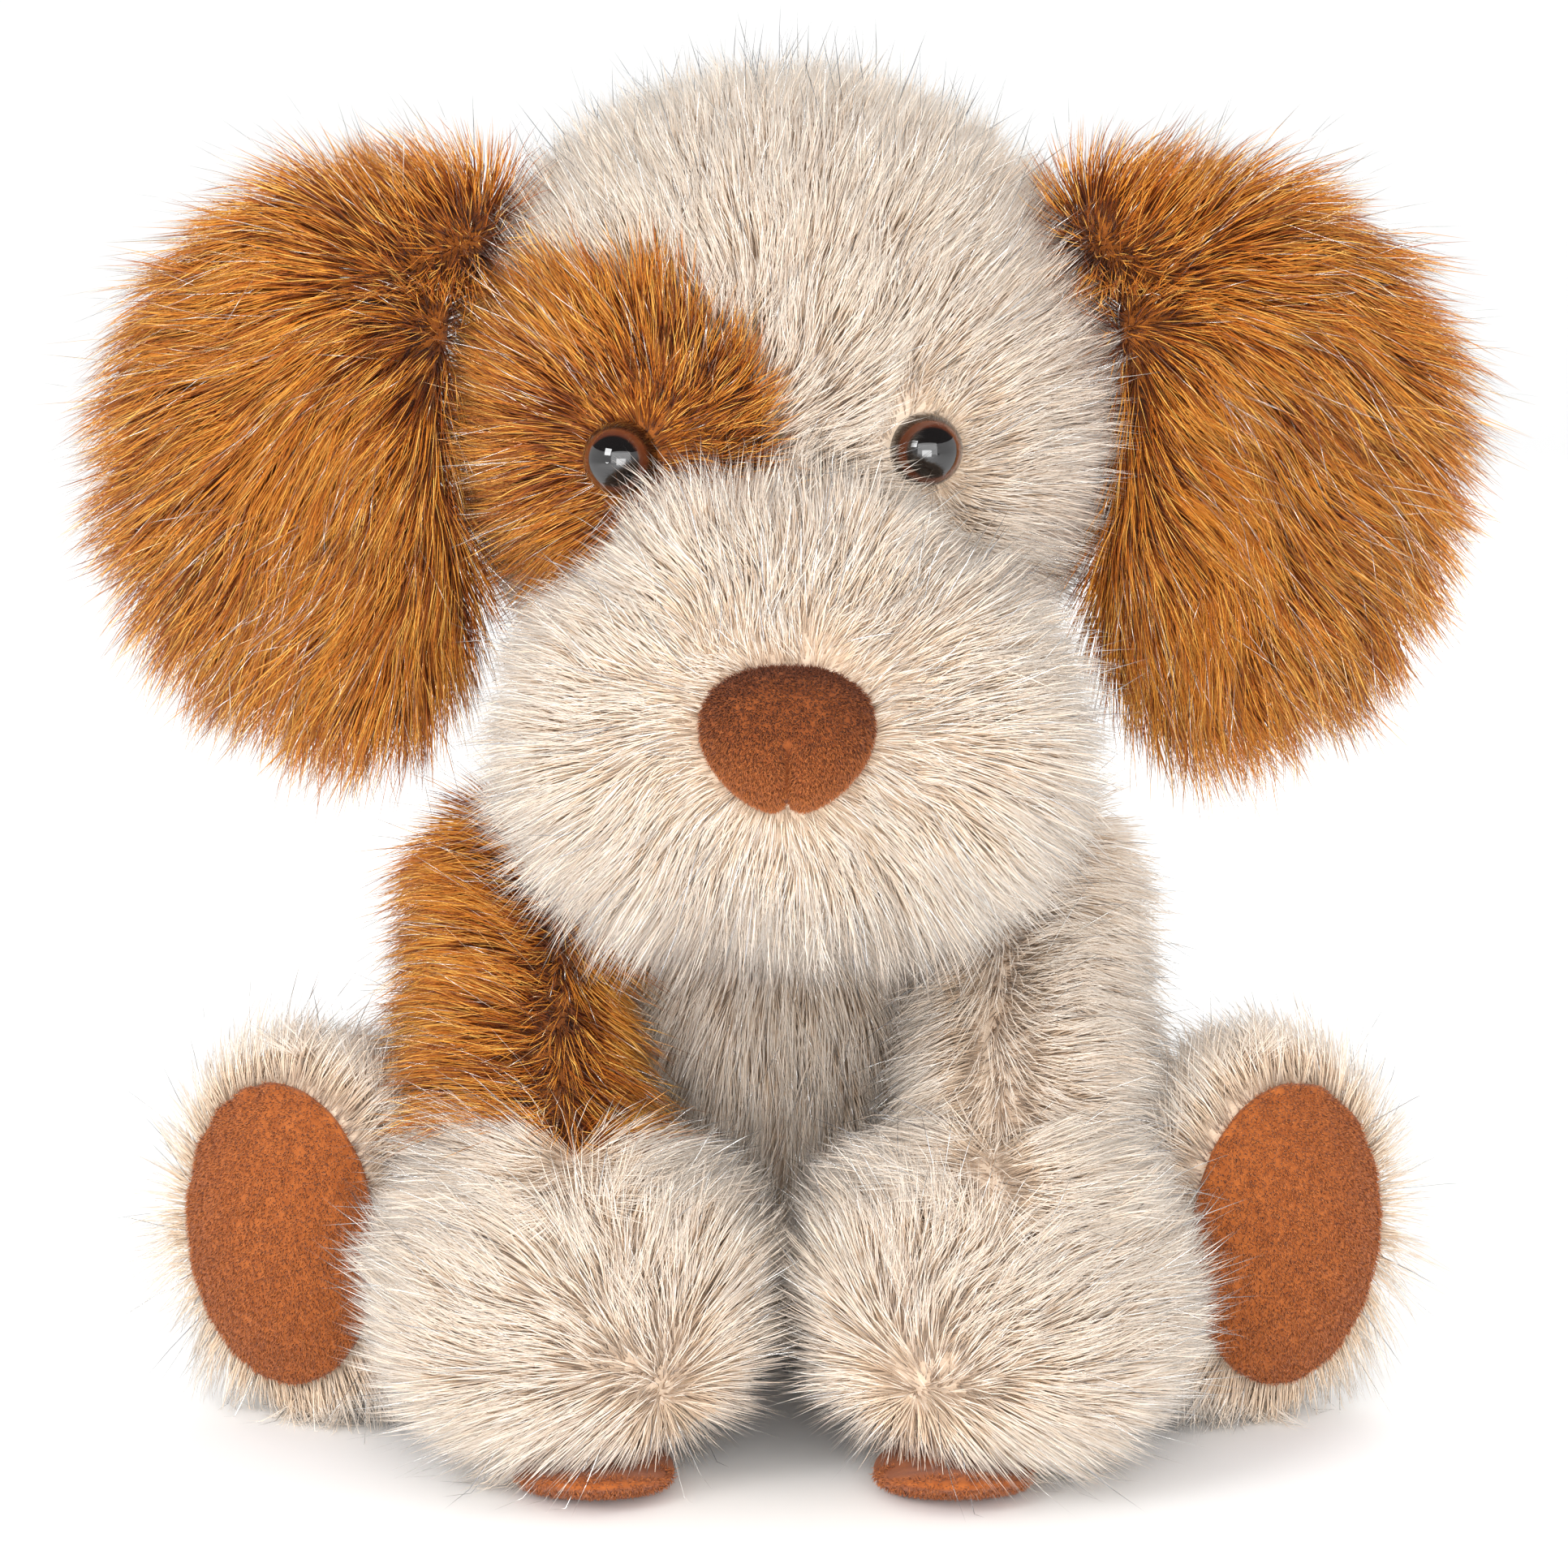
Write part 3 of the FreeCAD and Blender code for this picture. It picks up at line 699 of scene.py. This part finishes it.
BRIDGE = np.array([                 # between and below the eyes
    (EYES["left"][0] + EYES["right"][0]) / 2,
    EYES["left"][1] - 6 * MM,
    EYES["left"][2] - 14 * MM,
])


def nose_radius(points):
    """How far points lie from the nose, as a share of its half width and height."""
    return np.hypot((points[:, 0] - NOSE[0]) / (16 * MM), (points[:, 2] - NOSE[2]) / (14 * MM))


def patch_reach(points):
    """How far points lie from the middle of the brown patch, 1 at its edge."""
    low, high = span("eye_patch")
    centre = (low + high) / 2 + np.array([0, 0, -8 * MM])
    half = (high - low) / 2 - 4 * MM
    return np.hypot((points[:, 0] - centre[0]) / half[0], (points[:, 2] - centre[2]) / half[2])


def patch_share(points):
    """1 well inside the brown patch, easing to 0 outside it."""
    front = points[:, 1] < HEAD[1]
    return (1 - smooth_step(patch_reach(points), 0.85, 1.35)) * front


def round_eyes(points, normals, on_muzzle, comb, lift, length):
    """Shorten the pile round each eye, turn it away from the dome, and leave the dome's place bare."""
    keep = np.ones(len(points), bool)
    for eye in EYES.values():
        gap = np.linalg.norm(points - eye, axis=1)
        close = 1 - smooth_step(gap, EYE_R + 2 * MM, EYE_R + 11 * MM)
        outward = tangent(points - eye, normals)
        push = np.where(on_muzzle, close * 0.2, close * 1.8)
        comb = unit(comb + outward * push[:, None])
        length = length * (1 - np.where(on_muzzle, 0.40, 0.58) * close)
        lift = lift * (1 - np.where(on_muzzle, 0.35, 0.6) * close)
        keep &= gap > EYE_R + 0.3 * MM
    return comb, lift, length, keep


def head_flow(points, normals):
    """Pile radiates from the bridge between the eyes, and on the muzzle from the nose."""
    on_muzzle = muzzle_distance(points) < skull_distance(points)
    from_bridge = tangent(points - BRIDGE, normals)
    from_nose = tangent(points - (NOSE + np.array([0, -6 * MM, -2 * MM])), normals)
    in_patch = patch_share(points)
    from_eye = tangent(points - EYES["right"] + np.array([-4 * MM, 0, 6 * MM]), normals)
    from_bridge = unit(from_bridge * (1 - in_patch)[:, None] + from_eye * in_patch[:, None])
    comb = np.where(on_muzzle[:, None], from_nose, from_bridge)
    lift = np.where(on_muzzle, math.radians(42), math.radians(56))
    length = np.where(on_muzzle, 19 * MM, 16.5 * MM)
    near = nose_radius(points)
    front = points[:, 1] < MUZZLE[1]
    away = smooth_step(near, 0.9, 2.6)
    over = smooth_step(points[:, 2], MUZZLE[2] + 16 * MM, MUZZLE[2] + 32 * MM)
    window = sum(np.exp(-(((points[:, 0] - eye[0]) / (11 * MM)) ** 2)) for eye in EYES.values())
    length = np.where(on_muzzle, length + (4 - 11 * window) * MM * over, length)
    lift = np.where(on_muzzle, lift + (0.35 - 0.4 * window) * over, lift)
    length = np.where(front & on_muzzle, length - 11 * MM * (1 - away), length)
    lift = np.where(front & on_muzzle, lift - math.radians(14) * (1 - away), lift)
    droop = np.where(on_muzzle, 0.22, 0.06)
    comb, lift, length, keep = round_eyes(points, normals, on_muzzle, comb, lift, length)
    keep &= ~((near < 0.86) & front)
    keep &= np.linalg.norm(points - NECK, axis=1) > 20 * MM
    comb = swirled(comb, normals, points, 0.32, 3)
    return comb, lift, length, keep, droop


def head_colour(points):
    """Brown round the right eye, above the muzzle."""
    inside = patch_reach(points) < 1 + 0.06 * waves(points, 16 * MM, 9)
    on_skull = muzzle_distance(points) >= skull_distance(points) - 0.5 * MM
    return inside & on_skull & (points[:, 1] < HEAD[1] + 6 * MM)


def ear_flow(side):
    """Pile stands up at the ear's root and lies down and out from there."""
    root = EAR_ROOTS[side] + np.array([-SIDES[side] * 22 * MM, 0, -4 * MM])

    def flow(points, normals):
        outward = points - root
        outward[:, 1] *= 0.3
        comb = tangent(unit(outward) + np.array([0, 0, -0.25]), normals)
        comb = swirled(comb, normals, points, 0.4, 11)
        from_root = np.linalg.norm(points - EAR_ROOTS[side], axis=1)
        standing = (1 - smooth_step(from_root, 12 * MM, 34 * MM))[:, None]
        upward = tangent(np.tile((SIDES[side] * 0.55, -0.2, 0.9), (len(points), 1)), normals)
        comb = unit(comb * (1 - standing) + upward * standing)
        lift = math.radians(34) + 0.6 * (1 - smooth_step(from_root, 10 * MM, 38 * MM))
        keep = np.ones(len(points), bool)
        return comb, lift, level(points, 18.5 * MM), keep, level(points, 0.12)

    return flow


def torso_flow(points, normals):
    """Pile hangs down, with none at the hips and shoulders, under the limbs."""
    comb = tangent(np.tile(DOWN, (len(points), 1)) + 0.3 * normals, normals)
    comb = swirled(comb, normals, points, 0.25, 13)
    keep = points[:, 2] > 3 * MM
    for side in SIDES:
        keep &= np.linalg.norm(points - HIPS[side], axis=1) > 20 * MM
        keep &= np.linalg.norm(points - SHOULDERS[side], axis=1) > 9 * MM
    return comb, level(points, math.radians(40)), level(points, 17 * MM), keep, level(points, 0.15)


def neck_flow(points, normals):
    """Pile hangs down round the neck's middle."""
    comb = tangent(np.tile(DOWN, (len(points), 1)), normals)
    keep = np.abs(points[:, 2] - NECK[2]) < 18 * MM
    return comb, level(points, math.radians(40)), level(points, 15 * MM), keep, level(points, 0.15)


def whorl(side):
    """Where the pile parts on the front of a paw."""
    paw = PAWS[side]
    across, down = {"left": (-15 * MM, -13 * MM), "right": (18 * MM, -17 * MM)}[side]
    return paw + np.array([across, -PAW_R + 8 * MM, down])


def front_leg_flow(side):
    """Pile radiates from the paw's parting, and parts sideways up the leg."""
    paw = PAWS[side]

    def flow(points, normals):
        from_whorl = tangent(points - whorl(side), normals)
        aside = np.tanh((points[:, 0] - paw[0]) / (7 * MM))
        outward = np.stack([aside, level(points, 0.1), -0.3 - 0.7 * (1 - np.abs(aside))], axis=1)
        sideways = tangent(outward, normals)
        high = smooth_step(points[:, 2], 40 * MM, 74 * MM)[:, None]
        comb = unit(from_whorl * (1 - high) + sideways * high)
        comb = swirled(comb, normals, points, 0.4, 17)
        length = level(points, 17 * MM)
        lift = level(points, math.radians(40))
        keep = points[:, 2] > 6 * MM
        keep |= (normals[:, 2] > -0.55) & (points[:, 2] > 3.5 * MM)
        if side == "left":
            seam = (np.abs(points[:, 0] - paw[0]) < 0.8 * MM) & (points[:, 2] > 68 * MM)
            keep &= ~seam
        return comb, lift, length, keep, level(points, 0.1)

    return flow


def shoulder_colour(points):
    """Brown on the upper part of the right front leg."""
    edge = 67.5 * MM + waves(points, 18 * MM, 21) * 2 * MM
    return points[:, 2] > edge


def hind_leg_flow(side):
    """Pile runs along the leg and fans out round the bare sole."""
    sole = SOLES[side]
    out = FOOT_OUT[side]
    across = np.array([-out[1], out[0], 0])

    def flow(points, normals):
        rel = points - sole
        ahead = rel @ out
        spread = np.hypot(rel @ across / (23.5 * MM), rel[:, 2] / (31.5 * MM))
        comb = tangent(rel + out * 8 * MM, normals)
        comb = swirled(comb, normals, points, 0.25, 23)
        keep = ~((ahead > -11 * MM) & (spread < 0.95)) & (points[:, 2] > 4 * MM)
        lift = np.where(ahead > -16 * MM, math.radians(40), math.radians(42))
        return comb, lift, level(points, 17 * MM), keep, level(points, 0.1)

    return flow


def tail_flow(points, normals):
    """Pile runs to the tail's tip."""
    comb = tangent(np.tile(tail_tip() - TAIL_ROOT, (len(points), 1)), normals)
    keep = np.ones(len(points), bool)
    return comb, level(points, math.radians(38)), level(points, 13 * MM), keep, level(points, 0.1)


def all_cream(points):
    return np.zeros(len(points), bool)


def all_brown(points):
    return np.ones(len(points), bool)


# ---------------------------------------------------------------- eyes, nose and soles

def eye_material(side):
    """Glossy dome: black pupil, a thin red-brown iris and a dark rim, round the eye's own axis."""
    mat, nodes, links = new_material(f"eye_{side}_glass")
    shader = set_shader(nodes, Roughness=0.04, Coat_Weight=1.0, Coat_Roughness=0.02)
    where = nodes.new("ShaderNodeTexCoord")
    shift = nodes.new("ShaderNodeVectorMath")
    shift.operation = "SUBTRACT"
    shift.inputs[1].default_value = tuple(EYES[side])
    axis = (SIDES[side] * math.sin(EYE_YAW), -math.cos(EYE_YAW), 0)
    cross = nodes.new("ShaderNodeVectorMath")
    cross.operation = "CROSS_PRODUCT"
    cross.inputs[1].default_value = axis
    length = nodes.new("ShaderNodeVectorMath")
    length.operation = "LENGTH"
    scale = nodes.new("ShaderNodeMath")
    scale.operation = "DIVIDE"
    scale.inputs[1].default_value = EYE_R
    links.new(where.outputs["Object"], shift.inputs[0])
    links.new(shift.outputs[0], cross.inputs[0])
    links.new(cross.outputs[0], length.inputs[0])
    links.new(length.outputs["Value"], scale.inputs[0])
    black, rim = (0.003, 0.002, 0.002), (0.010, 0.005, 0.004)
    rings = ramp(nodes, [(0.0, black), (0.66, black), (0.71, (0.075, 0.018, 0.007)),
                         (0.82, (0.11, 0.028, 0.010)), (0.88, rim)])
    links.new(scale.outputs[0], rings.inputs["Fac"])
    links.new(rings.outputs["Color"], shader.inputs["Base Color"])
    return mat


def nose_piece():
    """Rounded three-cornered nose, wider above, with a seam pressed into its lower half."""
    bm = bmesh.new()
    add_ball(bm, (0, 0, 0), (1, 1, 1), subdivisions=6)
    half_width, half_height, depth = 17.2 * MM, 14 * MM, 12 * MM
    for vertex in bm.verts:
        x, y, z = vertex.co
        below = 0.5 - z / 2
        narrow = 1.03 - 0.34 * below**2
        width = math.copysign(abs(x) ** 0.86, x) * narrow
        height = math.copysign(abs(z) ** (0.92 if z > 0 else 1.0), z)
        lower = smooth_step(0.25 - z, 0.0, 0.6)
        seam = math.exp(-((x / 0.06) ** 2)) * lower
        push = 1 - 0.22 * seam
        notch = 0.10 * math.exp(-((x / 0.12) ** 2)) * smooth_step(-0.7 - z, 0.0, 0.3)
        vertex.co = (
            NOSE[0] + width * half_width,
            NOSE_FRONT + depth + y * depth * push,
            NOSE[2] + (height + notch) * half_height,
        )
    made = to_object("nose", bm)
    shade_smooth(made.data)
    return made


def sole_piece(side):
    """Convex oval sole, its edge drawn in by small seam puckers."""
    sole = SOLES[side]
    out = FOOT_OUT[side]
    across = np.array([-out[1], out[0], 0])
    rings, turns = 40, 144
    verts = []
    for ring in range(rings + 1):
        share = ring / rings
        for turn in range(turns):
            angle = turn * 2 * math.pi / turns
            above = 0.35 + 0.65 * max(0, math.sin(angle))
            gathers = above * math.sin(angle * 17 + 1.3 * math.sin(3 * angle))
            pucker = 1 + 0.008 * gathers * share**6
            width = 24 * MM * share * pucker * math.cos(angle)
            height = 32 * MM * share * pucker * math.sin(angle)
            dome = 9 * MM * (1 - share**2.6) + 0.5 * MM * gathers * share**8
            verts.append(sole + across * width + np.array([0, 0, height]) + out * (dome - 6 * MM))
    faces = []
    for ring in range(rings):
        for turn in range(turns):
            following = (turn + 1) % turns
            a, b = ring * turns + turn, ring * turns + following
            faces.append((a, b, b + turns, a + turns))
    back = len(verts)
    verts.append(sole - out * 12 * MM)
    last = rings * turns
    for turn in range(turns):
        faces.append((last + turn, last + (turn + 1) % turns, back))
    mesh = bpy.data.meshes.new(f"hind_sole_{side}")
    mesh.from_pydata([tuple(v) for v in verts], [], faces)
    bm = bmesh.new()
    bm.from_mesh(mesh)
    bmesh.ops.remove_doubles(bm, verts=bm.verts, dist=0.02 * MM)
    bmesh.ops.recalc_face_normals(bm, faces=bm.faces)
    bm.to_mesh(mesh)
    bm.free()
    shade_smooth(mesh)
    return placed(mesh.name, mesh)


def front_sole_piece(side):
    """Flat oval sole under a paw; its front edge turns up a little, into view."""
    paw = PAWS[side]
    bm = bmesh.new()
    half_length = 22 * MM
    inward = {"left": -8 * MM, "right": 4 * MM}[side]
    centre = (paw[0] + inward, paw[1] - 9 * MM, 3.4 * MM)
    add_ball(bm, centre, (16 * MM, half_length, 3.4 * MM), subdivisions=5)
    made = to_object(f"front_sole_{side}", bm)
    front = centre[1] - half_length
    for vertex in made.data.vertices:
        vertex.co.z += 3 * MM * smooth_step(front + 16 * MM - vertex.co.y, 0.0, 16 * MM)
        vertex.co.z = max(vertex.co.z, 0.3 * MM)
    shade_smooth(made.data)
    return made


def nose_seam(points):
    """The line where the nose's two panels meet, in its lower half."""
    return (np.abs(points[:, 0] - NOSE[0]) < 0.55 * MM) & (points[:, 2] < NOSE[2] + 2 * MM)


def nap(name, piece, body, materials, seed, density, outward, painted_shade_above=0.0, bare=None):
    """Very short upright pile on a plush piece, on the faces that point outward, optionally darkened
    towards its top as painted shade.
    """
    rng = np.random.default_rng(seed)
    points, normals = surface_points(piece, density, rng)
    keep = normals @ np.array(outward) > 0.05
    if bare:
        keep &= ~bare(points)
    points, normals = points[keep], normals[keep]
    comb = tangent(rng.normal(0, 0.5, points.shape) + np.array([0, 0, -0.8]), normals)
    length = rng.uniform(0.8, 1.4, len(points)) * MM
    lift = np.clip(rng.normal(1.0, 0.2, len(points)), 0.5, 1.5)
    paths = grow(points, normals, comb, lift, length, rng, 0.0, 0.05 * MM, rings=3)
    height = (points[:, 2] - points[:, 2].min()) / np.ptp(points[:, 2])
    # painted shade: the nap's shade drifts darker towards the top of the piece, standing in for shadow
    # that falls there
    tone = rng.random(len(points)) + painted_shade_above * (0.5 - height)
    shade = np.digitize(tone, (0.3, 0.75))
    widths = np.full(len(points), NAP_RADIUS)
    lay_pieces(name, paths, widths, shade, materials, body)


# ---------------------------------------------------------------- room, light and camera

def make_camera():
    """A long lens a little above the dog, straight in front of it."""
    target = Vector((0, -0.044, 0.132))
    elevation, distance = math.radians(10), 1.10
    data = bpy.data.cameras.new("camera")
    data.lens = 121
    data.sensor_width = 36
    camera = placed("camera", data)
    back = Vector((0, -math.cos(elevation), math.sin(elevation)))
    camera.location = target + back * distance
    camera.rotation_euler = (-back).to_track_quat("-Z", "Y").to_euler()
    bpy.context.scene.camera = camera


def make_stage():
    """A pale floor that curves up into its backdrop on all sides."""
    bm = bmesh.new()
    rings, turns, flat, rise = 24, 96, 1.6, 1.4
    round_angles = [turn * 2 * math.pi / turns for turn in range(turns)]
    loops = []
    for ring in range(rings + 1):
        share = ring / rings
        angle = share * math.pi / 2
        radius = flat + rise * math.sin(angle)
        height = rise * (1 - math.cos(angle))
        loops.append([
            bm.verts.new((radius * math.cos(a), radius * math.sin(a), height)) for a in round_angles
        ])
    bm.faces.new(loops[0])
    for lower, upper in zip(loops, loops[1:]):
        for t in range(turns):
            following = (t + 1) % turns
            bm.faces.new((lower[following], lower[t], upper[t], upper[following]))
    floor = to_object("floor", bm)
    shade_smooth(floor.data)
    mat, nodes, _ = new_material("pale_floor")
    shader = set_shader(nodes, Roughness=0.9)
    shader.inputs["Base Color"].default_value = (0.97, 0.97, 0.97, 1)
    floor.data.materials.append(mat)


def add_light(name, place, target, size, power):
    """A square area light aimed at a point."""
    data = bpy.data.lights.new(name, "AREA")
    data.size = size
    data.energy = power
    light = placed(name, data)
    light.location = place
    light.rotation_euler = (Vector(target) - Vector(place)).to_track_quat("-Z", "Y").to_euler()


def make_light():
    """Even white surroundings, dim in reflections, and four soft lamps."""
    world = bpy.data.worlds.new("studio")
    bpy.context.scene.world = world
    world.use_nodes = True
    nodes, links = world.node_tree.nodes, world.node_tree.links
    nodes["Background"].inputs["Color"].default_value = (1, 1, 1, 1)
    path = nodes.new("ShaderNodeLightPath")
    dimmed = nodes.new("ShaderNodeMapRange")
    dimmed.inputs["To Min"].default_value = 1.0
    dimmed.inputs["To Max"].default_value = 0.12
    links.new(path.outputs["Is Glossy Ray"], dimmed.inputs["Value"])
    links.new(dimmed.outputs["Result"], nodes["Background"].inputs["Strength"])
    add_light("front", (0.1, -1.35, 0.12), (0, -0.05, 0.10), 1.5, 16)
    add_light("key", (-0.6, -0.8, 0.6), (0, -0.05, 0.12), 0.35, 4)
    add_light("low", (0.05, -0.85, 0.07), (0, -0.04, 0.09), 0.4, 3.0)
    add_light("back", (0.5, 1.2, 0.8), (0, 0, 0.12), 1.2, 8)
    bpy.context.scene.view_settings.view_transform = "Standard"


# ---------------------------------------------------------------- the dog

def repaint(piece, material):
    """Give a piece one material in place of any it has."""
    piece.data.materials.clear()
    piece.data.materials.append(material)


def paint_brown(skin, material, colour_of):
    """Give the part of a skin under brown pile its own material."""
    skin.data.materials.append(material)
    centres = np.array([polygon.center for polygon in skin.data.polygons])
    skin.data.polygons.foreach_set("material_index", colour_of(centres).astype(np.int32))


def dress(skin, body, material, nodes):
    """Finish a skin: it rides on its body and stands for its CAD cover and filling."""
    repaint(skin, material)
    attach(skin, body)
    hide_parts(*nodes)


def make_head(mats):
    skin = head_skin()
    nodes = [
        "face_panel", "eye_patch", "back_of_head_panel", "head_filling",
        "muzzle_cover", "muzzle_filling",
    ]
    dress(skin, "head", mats["cream_skin"], nodes)
    paint_brown(skin, mats["brown_skin"], head_colour)
    coat("head", skin, "head", head_flow, head_colour, mats, 1)
    nose = nose_piece()
    nodes = ["nose_panel_left", "nose_panel_right", "nose_filling"]
    dress(nose, "head", mats["nose_plush"], nodes)
    # painted shade: the nose nap is darkened towards its top, standing in for the shadow cast by the fur
    # above
    nap("nose_nap", nose, "head", mats["nose_nap"], 31, 9, (0, -1, 0), painted_shade_above=1.5, bare=nose_seam)
    for side in SIDES:
        glass = eye_material(side)
        for part in ("dome", "back"):
            repaint(frame["nodes"][f"eye_{side}_{part}"], glass)


def make_ears(mats):
    for number, side in enumerate(SIDES):
        skin = ear_skin(side)
        nodes = [f"ear_{side}_front_panel", f"ear_{side}_back_panel"]
        dress(skin, f"ear_{side}", mats["brown_skin"], nodes)
        coat(f"ear_{side}", skin, f"ear_{side}", ear_flow(side), all_brown, mats, 40 + number, tufts=1.0)


def make_torso(mats):
    skin = torso_skin()
    nodes = ["seat_panel", "belly_panel", "back_panel_left", "back_panel_right", "torso_filling"]
    dress(skin, "torso", mats["cream_skin"], nodes)
    coat("torso", skin, "torso", torso_flow, all_cream, mats, 50, density=0.7)
    neck = neck_skin()
    dress(neck, "neck", mats["cream_skin"], ["neck_filling"])
    coat("neck", neck, "neck", neck_flow, all_cream, mats, 51, density=0.9)
    tail = tail_skin()
    dress(tail, "tail", mats["cream_skin"], ["tail_cover", "tail_filling"])
    coat("tail", tail, "tail", tail_flow, all_cream, mats, 52)


def make_front_legs(mats):
    for number, side in enumerate(SIDES):
        body = f"front_leg_{side}"
        skin = front_leg_skin(side)
        dress(skin, body, mats["cream_skin"], [*front_leg_nodes(side), f"{body}_filling"])
        colour = all_cream
        if side == "right":
            colour = shoulder_colour
            paint_brown(skin, mats["brown_skin"], shoulder_colour)
        coat(body, skin, body, front_leg_flow(side), colour, mats, 60 + number)
        sole = front_sole_piece(side)
        dress(sole, body, mats["plush"], [f"{body}_sole"])
        nap(f"front_sole_nap_{side}", sole, body, mats["nap"], 64 + number, 3, (0, -1, 0))


def make_hind_legs(mats):
    for number, side in enumerate(SIDES):
        body = f"hind_leg_{side}"
        skin = hind_leg_skin(side)
        dress(skin, body, mats["cream_skin"], [f"{body}_cover", f"{body}_filling"])
        coat(body, skin, body, hind_leg_flow(side), all_cream, mats, 70 + number)
        sole = sole_piece(side)
        dress(sole, body, mats["plush"], [f"{body}_sole"])
        nap(f"hind_sole_nap_{side}", sole, body, mats["nap"], 74 + number, 4.5, FOOT_OUT[side])


def finish_inside():
    """Material of the lock washers behind the eyes."""
    washer = plastic_material("washer", (0.82, 0.82, 0.8), 0.45, 700)
    for side in SIDES:
        repaint(frame["nodes"][f"eye_{side}_washer"], washer)


make_camera()
make_stage()
make_light()
materials = make_materials()
make_head(materials)
make_ears(materials)
make_torso(materials)
make_front_legs(materials)
make_hind_legs(materials)
finish_inside()
